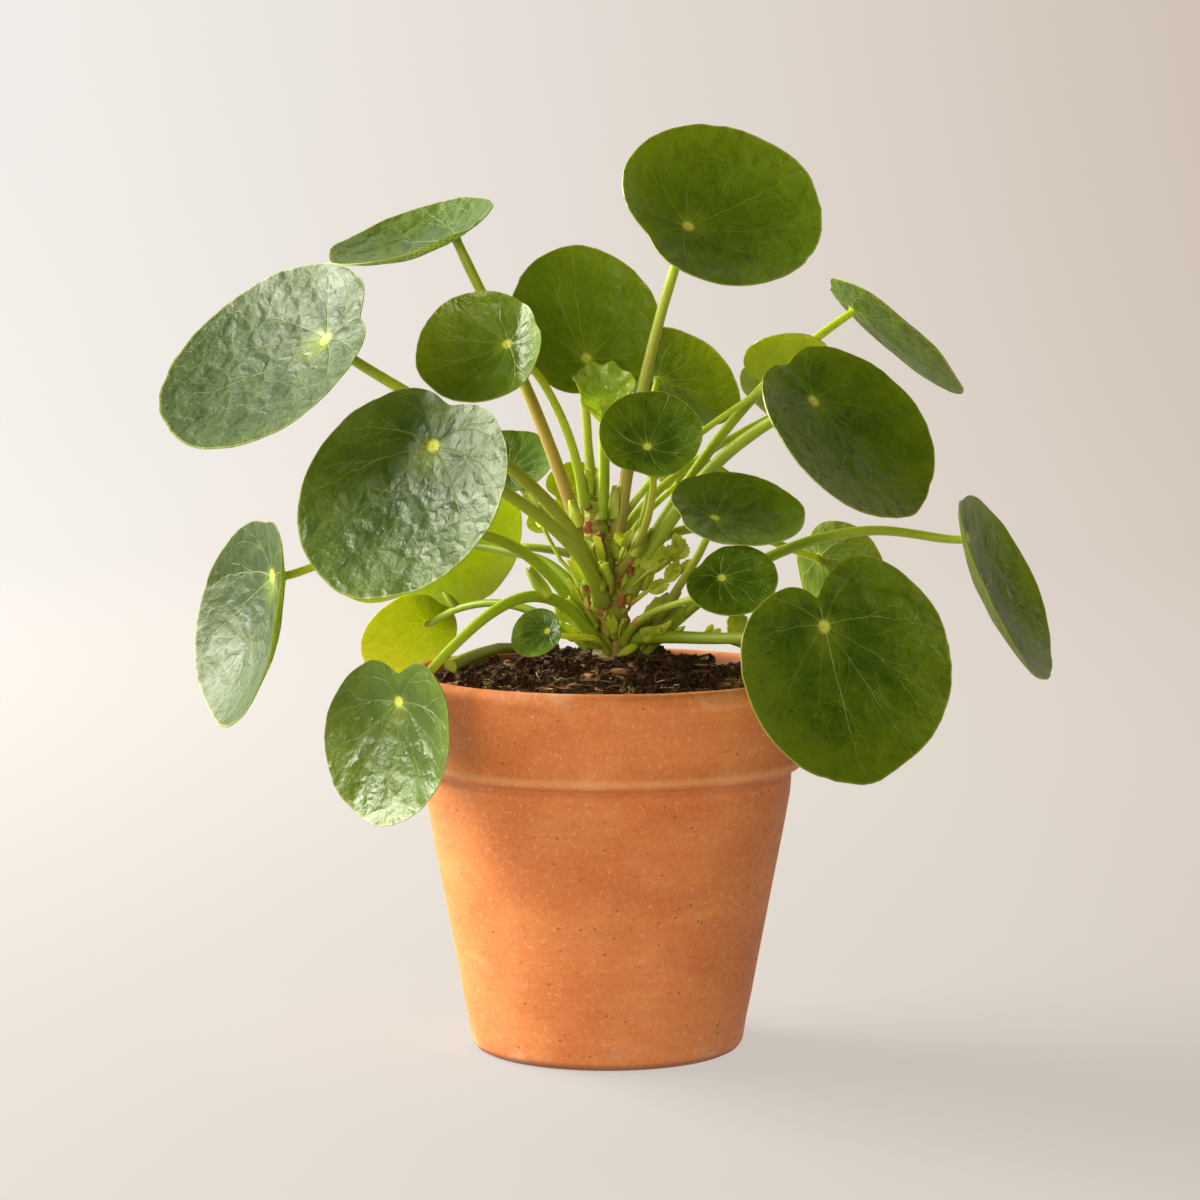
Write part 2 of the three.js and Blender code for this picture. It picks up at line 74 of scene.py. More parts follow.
deselect()
bpy.ops.object.camera_add(location=CAMERA_PLACE, rotation=(math.radians(90 - CAMERA_DIP), 0, 0))
camera = bpy.context.object
camera.name = "camera"
camera.data.sensor_width = 36
camera.data.lens = CAMERA_LENS
camera.data.clip_end = 30
camera.data.dof.use_dof = False
bpy.context.scene.camera = camera
bpy.context.scene.view_settings.view_transform = "Standard"
bpy.context.scene.view_settings.look = "None"

bpy.ops.mesh.primitive_plane_add(size=1, location=(0, 0, 0))
sweep = bpy.context.object
sweep.name = "paper_sweep"
sweep.scale = (FLOOR_WIDE, FLOOR_DEEP, 1)
sweep.location = (0, FLOOR_MIDDLE, 0)
bpy.ops.object.transform_apply(location=True, rotation=False, scale=True)
bpy.ops.object.mode_set(mode="EDIT")
bpy.ops.mesh.select_all(action="DESELECT")
bpy.ops.object.mode_set(mode="OBJECT")
for edge in sweep.data.edges:
    edge.select = all(sweep.data.vertices[v].co.y > 0 for v in edge.vertices)
bpy.ops.object.mode_set(mode="EDIT")
bpy.ops.mesh.select_mode(type="EDGE")
for step in range(CURVE_STEPS):
    angle = math.radians(90 / CURVE_STEPS * (step + 0.5))
    move = (0, CURVE_STEP * math.cos(angle), CURVE_STEP * math.sin(angle))
    bpy.ops.mesh.extrude_edges_move(TRANSFORM_OT_translate={"value": move})
bpy.ops.mesh.extrude_edges_move(TRANSFORM_OT_translate={"value": (0, 0, WALL_HEIGHT)})
bpy.ops.object.mode_set(mode="OBJECT")
bpy.ops.object.shade_smooth()


def new_material(name, steady):
    """A material, its nodes and its shader, with the values that are the same all over."""
    material = bpy.data.materials.new(name)
    material.use_nodes = True
    shader = material.node_tree.nodes["Principled BSDF"]
    for socket, value in steady.items():
        shader.inputs[socket].default_value = value
    return material, material.node_tree, shader


def add_node(tree, kind, values=None, **settings):
    node = tree.nodes.new("ShaderNode" + kind)
    for key, value in settings.items():
        setattr(node, key, value)
    for key, value in (values or {}).items():
        if isinstance(value, bpy.types.NodeSocket):
            tree.links.new(value, node.inputs[key])
        else:
            node.inputs[key].default_value = value
    return node


def object_place(tree, scale=(1, 1, 1)):
    """Where a point lies on the object in metres, stretched by a scale."""
    where = add_node(tree, "TexCoord").outputs["Object"]
    return add_node(tree, "Mapping", {0: where, "Scale": scale}).outputs[0]


def axes_of(place):
    return add_node(place.id_data, "SeparateXYZ", {0: place}).outputs


def between(value, low, high, out_low=0.0, out_high=1.0, smooth=True):
    """A value brought from one range to another, held at its ends."""
    values = {0: value, 1: low, 2: high, 3: out_low, 4: out_high}
    kind = "SMOOTHSTEP" if smooth else "LINEAR"
    return add_node(value.id_data, "MapRange", values, interpolation_type=kind).outputs[0]


def mixed(share, first, second):
    """Two colours mixed by a share, 0 for all of the first and 1 for all of the second."""
    colours = {key: value if isinstance(value, bpy.types.NodeSocket) else (*value, 1)
               for key, value in ((6, first), (7, second))}
    return add_node(share.id_data, "Mix", {0: share, **colours}, data_type="RGBA").outputs[2]


paper, tree, shader = new_material("pale_paper", {
    "Base Color": PAPER, "Roughness": 0.9, "Specular IOR Level": 0.0, "Emission Strength": 1.0})
across, away, _ = axes_of(add_node(tree, "TexCoord").outputs["Object"])
glow = mixed(between(across, -0.6, 0.7, smooth=False), PAPER_LIT, PAPER_SHADED)
rise = between(away, 0.0, 2.0, 0.87, 1.055, smooth=False)
glow = add_node(tree, "VectorMath", {0: glow, "Scale": rise}, operation="SCALE").outputs[0]
tree.links.new(glow, shader.inputs["Emission Color"])
sweep.data.materials.append(paper)


def soft_light(name, place, target, size, power, colour):
    bpy.ops.object.light_add(type="AREA", location=place)
    lamp = bpy.context.object
    lamp.name = name
    lamp.rotation_euler = (Vector(target) - Vector(place)).to_track_quat("-Z", "Y").to_euler()
    lamp.data.shape = "RECTANGLE"
    lamp.data.size, lamp.data.size_y = size
    lamp.data.energy = power
    lamp.data.color = colour
    return lamp


soft_light("window", (-1.76, 0.16, 1.06), (0, 0, 0.16), (1.45, 0.95), 83, (1.0, 0.96, 0.88))
behind = soft_light("back_left", (-1.42, 1.0, 0.98), (0, 0, 0.2), (0.9, 0.8), 78,
                    (1.0, 0.965, 0.86))
behind.visible_glossy = False
soft_light("front_fill", (-0.45, -2.15, 0.62), (0, 0, 0.15), (0.8, 0.6), 22, (1.0, 0.84, 0.56))
room_light = bpy.data.worlds.new("room_light")
room_light.use_nodes = True
room_light.node_tree.nodes["Background"].inputs["Color"].default_value = (1.0, 0.94, 0.86, 1)
room_light.node_tree.nodes["Background"].inputs["Strength"].default_value = 0.05
bpy.context.scene.world = room_light

# Pot
# A thrown terracotta flower pot with a deep rim band, a beaded step under it and a rounded lip. The
# clay is unglazed: warm orange, speckled, with faint turning marks and a little pale salt bloom.

MM = 0.001
# radius and height in mm, from the drain hole out, up the wall, over the lip and down inside
POT_PROFILE = [
    (7, 0), (30, 0.05), (41, 0), (43, 0), (44.8, 0.9), (45.8, 2.1), (46.4, 3.4),
    (47.6, 10), (49.4, 19), (51.2, 29), (53.1, 39), (55.0, 49), (56.9, 59), (58.8, 69),
    (60.7, 79), (62.3, 88), (62.6, 92.0), (62.7, 94.4), (62.9, 95.8), (63.9, 96.6), (65.6, 97.1),
    (66.7, 98.0), (67.0, 99.3), (66.75, 100.8), (66.0, 103.2), (66.6, 108), (67.4, 113.5),
    (68.3, 119), (68.6, 121.0), (68.45, 122.2), (69.1, 123.2), (69.8, 124.6), (69.8, 126.6),
    (69.2, 128.0), (68.1, 128.75), (66.8, 129), (65.2, 128.8), (63.8, 128.0), (62.9, 126.8),
    (62.5, 125.5), (61.9, 122.6), (60.2, 115), (56.0, 95), (49.8, 66), (43.8, 37), (39.8, 17),
    (38.6, 11), (36.5, 9.2), (30, 9), (7, 9), (7, 0),
]
POT_SPOKES = 160
HAND_WANDER, TURNING_MARK = 0.12, 0.05
CLAY, PALE_CLAY, RING_STAIN, CLAY_GRAIN = (
    (0.63, 0.172, 0.040), (0.80, 0.285, 0.085), (0.53, 0.15, 0.035), (0.80, 0.36, 0.13))
PALE_SCRATCH, DARK_SCRATCH, SPECK, SALT = (
    (0.92, 0.56, 0.30), (0.36, 0.10, 0.03), (0.22, 0.08, 0.035), (0.86, 0.56, 0.36))
# light and shade painted on the clay: a shadow round the foot, a highlight along the bead, shade in
# the recess under it and on the inner wall above the soil
FOOT_SHADOW_PAINT, BEAD_HIGHLIGHT_PAINT, RECESS_SHADE_PAINT, INNER_SHADE_PAINT = (
    (0.20, 0.06, 0.02), (0.90, 0.48, 0.24), (0.38, 0.10, 0.025), (0.24, 0.075, 0.03))
BEAD_HEIGHT, RECESS_HEIGHT, SALT_HEIGHT = 0.0995, 0.0957, 0.1


def rings_drawn_out(name, spokes, profile):
    """A circle, extruded and resized ring by ring along a profile of (radius, height)."""
    deselect()
    radius, height = profile[0]
    bpy.ops.mesh.primitive_circle_add(vertices=spokes, radius=radius, location=(0, 0, height))
    piece = bpy.context.object
    piece.name = piece.data.name = name
    bpy.ops.object.transform_apply(location=True, rotation=True, scale=True)
    bpy.ops.object.mode_set(mode="EDIT")
    bpy.ops.mesh.select_mode(type="EDGE")
    bpy.ops.mesh.select_all(action="SELECT")
    for next_radius, next_height in profile[1:]:
        rise = (0, 0, next_height - height)
        bpy.ops.mesh.extrude_edges_move(TRANSFORM_OT_translate={"value": rise})
        grow = next_radius / radius
        bpy.ops.transform.resize(value=(grow, grow, 1))
        radius, height = next_radius, next_height
    bpy.ops.mesh.select_all(action="SELECT")
    bpy.ops.mesh.remove_doubles(threshold=1e-6)
    bpy.ops.mesh.normals_make_consistent(inside=False)
    bpy.ops.object.mode_set(mode="OBJECT")
    return piece


def corners_of(mesh):
    points = np.zeros(len(mesh.vertices) * 3)
    mesh.vertices.foreach_get("co", points)
    return points.reshape(-1, 3)


def set_corners(mesh, points):
    mesh.vertices.foreach_set("co", np.ascontiguousarray(points, dtype=np.float64).ravel())
    mesh.update()


def reshape(piece, rule):
    """Move every corner of a piece to the place that the rule gives for its x, y and z."""
    set_corners(piece.data, [rule(x, y, z) for x, y, z in corners_of(piece.data)])


def keep_smooth(piece, degrees):
    """Shade smooth over all edges that are less sharp than an angle."""
    deselect()
    piece.select_set(True)
    bpy.context.view_layer.objects.active = piece
    bpy.ops.object.shade_smooth_by_angle(angle=math.radians(degrees))


def fix_to_plant(piece, slot, *nodes):
    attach(piece, "root")
    if nodes:
        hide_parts(*nodes)


def thrown_by_hand(x, y, z):
    """The wall a little out of round, with fine rings left by the turning; the foot stays flat."""
    radius = math.hypot(x, y)
    if radius <= 0.02 or z <= 0.004:
        return x, y, z
    wander = noise.noise(Vector((x * 9, y * 9, z * 30)))
    turning = noise.noise(Vector((3, 7, z * 420)))
    grow = 1 - (HAND_WANDER * MM * (1 + wander) + TURNING_MARK * MM * (1 + turning)) / radius
    return x * grow, y * grow, z


pot = rings_drawn_out("pot_clay", POT_SPOKES, [(r * MM, z * MM) for r, z in POT_PROFILE])
reshape(pot, thrown_by_hand)
keep_smooth(pot, 50)
fix_to_plant(pot, "terracotta", "pot")


def worked(operation, first, second):
    tree = (first if isinstance(first, bpy.types.NodeSocket) else second).id_data
    return add_node(tree, "Math", {0: first, 1: second}, operation=operation).outputs[0]


def plus(first, second):
    return worked("ADD", first, second)


def times(first, second):
    return worked("MULTIPLY", first, second)


def apart(first, second):
    """How far two values are apart, either way."""
    return worked("ABSOLUTE", worked("SUBTRACT", first, second), 0.0)


def moved(place, move, operation="ADD"):
    values = {0: place, 1: move}
    return add_node(place.id_data, "VectorMath", values, operation=operation).outputs[0]


def stretched(place, amount):
    values = {0: place, "Scale": amount}
    return add_node(place.id_data, "VectorMath", values, operation="SCALE").outputs[0]


def length_of(place):
    node = add_node(place.id_data, "VectorMath", {0: place}, operation="LENGTH")
    return node.outputs["Value"]


def noise_value(place, scale, detail=3, roughness=0.5, distortion=0.0):
    values = {"Vector": place, "Scale": scale, "Detail": detail, "Roughness": roughness,
              "Distortion": distortion}
    return add_node(place.id_data, "TexNoise", values).outputs["Fac"]


def wobbled(place, scale, detail, amount):
    """A place pushed about by a noise, so that lines drawn on it aren't straight."""
    push = add_node(place.id_data, "TexNoise", {"Vector": place, "Scale": scale, "Detail": detail})
    return moved(place, stretched(push.outputs["Color"], amount))


def cell_walls(place, scale):
    """How far a place is from the walls of a net of cells."""
    values = {"Vector": place, "Scale": scale}
    node = add_node(place.id_data, "TexVoronoi", values, feature="DISTANCE_TO_EDGE")
    return node.outputs["Distance"]


def layered(colour, *coats):
    """A colour with coats laid over it in turn, each a share and a colour."""
    for share, coat in coats:
        colour = mixed(share, colour, coat)
    return colour


def finish_skin(shader, colour, height=None, strength=0.0, distance=0.0):
    """Give a shader its colour and, where there is one, a height for its fine relief."""
    tree = colour.id_data
    tree.links.new(colour, shader.inputs["Base Color"])
    if height:
        values = {"Height": height, "Strength": strength, "Distance": distance}
        bump = add_node(tree, "Bump", values)
        tree.links.new(bump.outputs[0], shader.inputs["Normal"])


clay, tree, shader = new_material("terracotta", {"Roughness": 0.62, "Specular IOR Level": 0.4})
place = object_place(tree)
height = axes_of(place)[2]
clouds = noise_value(object_place(tree, (1, 1, 1.6)), 26, 5, 0.62, 0.5)
grain = noise_value(place, 1100, 2, 0.6)
rings = noise_value(object_place(tree, (0.3, 0.3, 7)), 36, 3, 0.65)
scratch = between(cell_walls(wobbled(place, 420, 1, 0.004), 400), 0.012, 0.05, 1, 0)
broken = noise_value(place, 460, 1)
pale_scratch = times(scratch, between(broken, 0.55, 0.62))
dark_scratch = times(scratch, between(broken, 0.42, 0.36))
specks = add_node(tree, "TexVoronoi", {"Vector": place, "Scale": 260}).outputs["Distance"]
speck = times(between(specks, 0.08, 0.17, 1, 0), between(noise_value(place, 150, 1), 0.48, 0.56))
salt_low = between(height, 0.012, 0.0, 0, 0.5)
salt_band = between(apart(height, SALT_HEIGHT), 0.005, 0.0, 0.06, 0.22)
salt_rim = between(height, 0.121, 0.129, 0, 0.45)
bloom = noise_value(place, 48, 5, 0.7, 0.6)
salt = times(plus(plus(salt_low, salt_band), salt_rim), between(bloom, 0.45, 0.72))
from_axis = length_of(moved(place, (1, 1, 0), "MULTIPLY"))
# shade painted on the inner wall of the pot above the soil
inner_shade_mask = times(between(from_axis, 0.0655, 0.0625), between(height, 0.106, 0.114))
colour = layered(
    mixed(between(clouds, 0.28, 0.8), CLAY, PALE_CLAY),
    (between(rings, 0.4, 0.7, 0, 0.28), RING_STAIN),
    (between(grain, 0.4, 0.75, 0, 0.25), CLAY_GRAIN),
    (times(pale_scratch, 0.42), PALE_SCRATCH),
    (times(dark_scratch, 0.5), DARK_SCRATCH),
    (times(speck, 0.7), SPECK),
    (salt, SALT),
    # a shadow painted round the foot, where the pot stands on the floor
    (between(height, 0.0035, 0.0008, 0, 0.75), FOOT_SHADOW_PAINT),
    # a highlight painted along the bead under the rim band
    (between(apart(height, BEAD_HEIGHT), 0.0018, 0.0003, 0, 0.36), BEAD_HIGHLIGHT_PAINT),
    # shade painted in the recess under the bead
    (between(apart(height, RECESS_HEIGHT), 0.0026, 0.0006, 0, 0.36), RECESS_SHADE_PAINT),
    # the painted shade on the inner wall above the soil
    (times(inner_shade_mask, 0.85), INNER_SHADE_PAINT),
)
relief = plus(times(grain, 0.4), times(rings, 0.5))
pits = plus(times(speck, 0.6), times(pale_scratch, -0.25))
finish_skin(shader, colour, worked("SUBTRACT", relief, pits), 0.35, 0.0005)
pot.data.materials.append(clay)

# Soil
# Damp dark peat, full of fibres, crumbs and bits of bark, heaped a little round the trunk. A cut
# stalk and some shreds of old green leaf lie on it.

SOIL_REACH, SOIL_EDGE, SOIL_CROWN = 61.6, 123, 133
SOIL_SPOKES, SOIL_RINGS = 144, 46
# width in mm and height of the swells of the soil's face, and a number that sets each apart
SOIL_SWELLS = ((12, 2.4, 4), (4.6, 1.8, 9), (1.8, 0.8, 2))
CRUMBS, LUMPS, CHIPS, FIBRES = 1500, 330, 300, 330
PEAT, DRY_PEAT, PEAT_CRUMB, PEAT_STRAND = (
    (0.008, 0.0035, 0.0015), (0.070, 0.030, 0.011), (0.33, 0.17, 0.07), (0.42, 0.23, 0.1))
BARK, DRY_BARK, BARK_GRAIN = (0.05, 0.022, 0.008), (0.27, 0.125, 0.045), (0.50, 0.28, 0.12)
random.seed(1907)
# the noise that bends and frays is drawn anew at each start, so one draw is kept for all runs
noise.seed_set(1795865236)


def soil_height(x, y):
    """Height of the soil's face in mm at a place in mm."""
    share = min(1, math.hypot(x, y) / SOIL_REACH)
    heap = SOIL_EDGE + (SOIL_CROWN - SOIL_EDGE) * math.cos(share * math.pi / 2) ** 1.3
    swells = (high * noise.noise(Vector((x / wide, y / wide, k))) for wide, high, k in SOIL_SWELLS)
    return heap + sum(swells) * (1 - share**6)


def close_middle(piece, radius):
    """Merge the smallest rings of a piece into one corner each, so that it has no pinhole."""
    bpy.context.view_layer.objects.active = piece
    bpy.ops.object.mode_set(mode="EDIT")
    bpy.ops.mesh.select_mode(type="VERT")
    corners = piece.data.vertices
    heights = {round(v.co.z, 7) for v in corners if math.hypot(v.co.x, v.co.y) < radius}
    for height in heights:
        bpy.ops.mesh.select_all(action="DESELECT")
        bpy.ops.object.mode_set(mode="OBJECT")
        for v in piece.data.vertices:
            v.select = math.hypot(v.co.x, v.co.y) < radius and abs(v.co.z - height) < 1e-6
        bpy.ops.object.mode_set(mode="EDIT")
        bpy.ops.mesh.merge(type="CENTER")
    bpy.ops.mesh.select_all(action="SELECT")
    bpy.ops.mesh.normals_make_consistent(inside=False)
    bpy.ops.object.mode_set(mode="OBJECT")


soil_rings = [(0.02, SOIL_CROWN)]
soil_rings += [(SOIL_REACH * (j / SOIL_RINGS), SOIL_CROWN) for j in range(1, SOIL_RINGS + 1)]
soil_rings += [(58.0, 105), (49, 62), (39, 14), (38, 9.3), (20, 9.3), (0.02, 9.3)]
soil = rings_drawn_out("soil_bed", SOIL_SPOKES, [(r * MM, z * MM) for r, z in soil_rings])
close_middle(soil, 0.03 * MM)
reshape(soil, lambda x, y, z: (x, y, soil_height(x / MM, y / MM) * MM if z > 0.11 else z))
keep_smooth(soil, 60)
fix_to_plant(soil, "soil", "soil")


def copies_of(name, pattern, places):
    """One piece made of many turned and scaled copies of a pattern, given as 4 x 4 matrices."""
    points = corners_of(pattern.data)
    faces = [list(f.vertices) for f in pattern.data.polygons]
    all_points, all_faces, start = [], [], 0
    for place in places:
        turn = np.array(place)
        all_points.append(points @ turn[:3, :3].T + turn[:3, 3])
        all_faces += [[start + v for v in f] for f in faces]
        start += len(points)
    mesh = bpy.data.meshes.new(name)
    mesh.from_pydata(np.concatenate(all_points).tolist(), [], all_faces)
    mesh.update()
    piece = bpy.data.objects.new(name, mesh)
    bpy.context.scene.collection.objects.link(piece)
    return piece


def drop(*patterns):
    for pattern in patterns:
        bpy.data.objects.remove(pattern)


def scatter_place(radius_low, radius_high, low, high, sink=0.2, flat=1.0):
    """A random seat on the soil, with a random turn and size in mm."""
    angle = random.uniform(0, 2 * math.pi)
    radius = math.sqrt(random.uniform(radius_low**2, radius_high**2))
    x, y = radius * math.cos(angle), radius * math.sin(angle)
    size = random.uniform(low, high)
    wide, deep = size * random.uniform(0.6, 1.3), size * random.uniform(0.6, 1.2)
    tall = size * flat * random.uniform(0.5, 1.1)
    z = soil_height(x, y) + tall * (0.5 - sink)
    turn = Matrix.Rotation(random.uniform(0, 6.28), 4, "Z")
    turn = turn @ Matrix.Rotation(random.uniform(-0.6, 0.6), 4, "X")
    size = Matrix.Diagonal((wide * MM, deep * MM, tall * MM, 1))
    return Matrix.Translation((x * MM, y * MM, z * MM)) @ turn @ size


def crumb_pattern(name, subdivisions, rough, seed):
    """A lump of peat, one unit wide, with an uneven face."""
    deselect()
    bpy.ops.mesh.primitive_ico_sphere_add(subdivisions=subdivisions, radius=0.5)
    pattern = bpy.context.object
    pattern.name = name
    draw = random.Random(seed)

    def uneven(x, y, z):
        bulge = rough * noise.noise(Vector((x, y, z)) * 3 + Vector((seed, 0, 0)))
        grow = 1 + bulge + draw.uniform(-0.12, 0.12)
        return x * grow, y * grow, z * grow

    reshape(pattern, uneven)
    return pattern


small_crumb = crumb_pattern("small_crumb", 1, 0.7, 3)
large_crumb = crumb_pattern("large_crumb", 2, 0.9, 5)
crumb_places = [scatter_place(4, 60.5, 0.8, 2.6) for _ in range(CRUMBS)]
crumbs = copies_of("soil_crumbs", small_crumb, crumb_places)
lump_places = [scatter_place(9, 57.5, 2.6, 6.6, 0.1, 0.8) for _ in range(LUMPS)]
lumps = copies_of("soil_lumps", large_crumb, lump_places)
keep_smooth(crumbs, 25)
keep_smooth(lumps, 30)


def splintered(x, y, z):
    jag = noise.noise_vector(Vector((x, y, z)) * 4.1)
    return x + 0.25 * jag.x, y * (1 - 0.5 * abs(x)) + 0.2 * jag.y, z + 0.3 * jag.z


deselect()
bpy.ops.mesh.primitive_cube_add(size=1)
bark_chip = bpy.context.object
bpy.ops.object.mode_set(mode="EDIT")
bpy.ops.mesh.subdivide(number_cuts=2)
bpy.ops.object.mode_set(mode="OBJECT")
reshape(bark_chip, splintered)
long_chip = Matrix.Diagonal((1.7, 0.75, 1.0, 1))
chips = [scatter_place(8, 57.5, 1.6, 4.2, -0.5, 0.3) @ long_chip for _ in range(CHIPS)]
bark = copies_of("soil_bark", bark_chip, chips)
keep_smooth(bark, 20)


def bent_tube(name, points, radii, sides):
    """A round tube along points in mm, made from a curve with a bevel and turned into a mesh."""
    deselect()
    bpy.ops.curve.primitive_nurbs_path_add()
    path = bpy.context.object
    path.data.splines.clear()
    spline = path.data.splines.new("POLY")
    spline.points.add(len(points) - 1)
    for node, point, radius in zip(spline.points, points, radii):
        node.co = (*[c * MM for c in point], 1)
        node.radius = radius
    path.data.dimensions = "3D"
    path.data.bevel_depth = MM
    path.data.bevel_resolution = sides - 2
    path.data.use_fill_caps = True
    bpy.ops.object.convert(target="MESH")
    tube = bpy.context.object
    tube.name = tube.data.name = name
    return tube


fibre_path = [(-5, 0, 0), (-2.6, 0.7, 0.5), (0, -0.2, 0.9), (2.7, 0.5, 0.4), (5, 1.4, -0.2)]
fibre = bent_tube("fibre", fibre_path, [0.1, 0.17, 0.2, 0.15, 0.06], 3)
fibre_places = []
for _ in range(FIBRES):
    seat = scatter_place(5, 58, 0.5, 1.25, -0.4)
    lift = Matrix.Rotation(random.uniform(-0.35, 0.35), 4, "Y")
    lying = Matrix.Translation(seat.translation) @ seat.to_euler().to_matrix().to_4x4() @ lift
    fibre_places.append(lying @ Matrix.Scale(random.uniform(0.35, 1.1), 4))
fibres = copies_of("soil_fibres", fibre, fibre_places)
keep_smooth(fibres, 60)
drop(small_crumb, large_crumb, bark_chip, fibre)

cut_path = [(-53.5, 8, 129.2), (-49, 15, 130.6), (-44, 25, 131.6), (-38, 36, 132.2),
            (-31, 45, 131.4)]
cut_stalk = bent_tube("cut_stalk", cut_path, [2.6, 2.3, 2.1, 1.9, 1.7], 6)
keep_smooth(cut_stalk, 60)


def thicken(piece, thickness):
    """Give a thin sheet a second face and an edge."""
    bpy.context.view_layer.objects.active = piece
    thick = piece.modifiers.new("thickness", "SOLIDIFY")
    thick.thickness = thickness
    bpy.ops.object.modifier_apply(modifier="thickness")


def curled_shred(x, y, z):
    narrow = 1 - 1.6 * abs(x) ** 1.5
    side = 0.12 * noise.noise(Vector((x * 5, y * 5, 1)))
    lift = 0.3 * noise.noise(Vector((x * 4, y * 4, 7)))
    return x, y * narrow + side, 0.35 * x * x + lift


deselect()
bpy.ops.mesh.primitive_grid_add(x_subdivisions=8, y_subdivisions=5, size=1)
shred = bpy.context.object
reshape(shred, curled_shred)
thicken(shred, 0.05)
# place and length in mm of each shred of green leaf
green_spots = [(-47, 33, 5.5), (-43, 20, 4), (-22, 18, 6.5), (-16, -30, 5), (33, 12, 6),
               (41, -18, 4.5), (8, -44, 5), (25, 34, 6), (-40, -26, 5), (12, 47, 5)]
shred_places = []
for x, y, size in green_spots:
    turn = Matrix.Rotation(random.uniform(0, 6), 4, "Z")
    turn = turn @ Matrix.Rotation(random.uniform(-0.5, 0.5), 4, "X")
    seat = Matrix.Translation((x * MM, y * MM, (soil_height(x, y) + 1.3) * MM))
    shape = Matrix.Diagonal((size * MM, 0.6 * size * MM, 0.8 * size * MM, 1))
    shred_places.append(seat @ turn @ shape)
shreds = copies_of("leaf_shreds", shred, shred_places)
keep_smooth(shreds, 60)
drop(shred)

peat, tree, shader = new_material("damp_peat", {"Roughness": 0.88, "Specular IOR Level": 0.3})
place = object_place(tree)
dark = noise_value(place, 120, 5, 0.7)
fine = noise_value(place, 900, 3, 0.7)
strands = noise_value(object_place(tree, (1, 0.25, 1)), 700, 2, 0.6, 3)
colour = layered(
    mixed(between(dark, 0.3, 0.72), PEAT, DRY_PEAT),
    (between(fine, 0.55, 0.75, 0, 0.7), PEAT_CRUMB),
    (between(strands, 0.6, 0.7, 0, 0.6), PEAT_STRAND),
)
finish_skin(shader, colour, plus(dark, fine), 0.9, 0.0012)
for piece in (soil, crumbs, lumps):
    piece.data.materials.append(peat)

bark_skin, tree, shader = new_material("peat_bark", {"Roughness": 0.8})
streak = noise_value(object_place(tree, (1, 1, 4)), 380, 4, 0.65, 1)
patch = noise_value(object_place(tree), 90, 2)
colour = mixed(between(patch, 0.35, 0.65), BARK, DRY_BARK)
colour = mixed(between(streak, 0.5, 0.72, 0, 0.75), colour, BARK_GRAIN)
finish_skin(shader, colour, streak, 0.6, 0.0006)
bark.data.materials.append(bark_skin)

# the skins that are one shade running into another: roughness, size and detail of the shade, its
# two colours, and how deep it is as relief
for piece, name, roughness, scale, detail, first, second, strength in (
    (fibres, "peat_fibre", 0.7, 70, 2, (0.14, 0.07, 0.03), (0.62, 0.40, 0.22), 0.0),
    (shreds, "old_green", 0.6, 260, 3, (0.10, 0.15, 0.02), (0.36, 0.42, 0.08), 0.5),
    (cut_stalk, "cut_stalk_skin", 0.45, 45, 3, (0.26, 0.31, 0.02), (0.40, 0.42, 0.04), 0.0),
):
    material, tree, shader = new_material(name, {"Roughness": roughness})
    shade = noise_value(object_place(tree), scale, detail)
    colour = mixed(between(shade, 0.3, 0.7), first, second)
    finish_skin(shader, colour, shade if strength else None, strength, 0.0008)
    piece.data.materials.append(material)
for piece in (crumbs, lumps, bark, fibres, shreds, cut_stalk):
    fix_to_plant(piece, "soil")
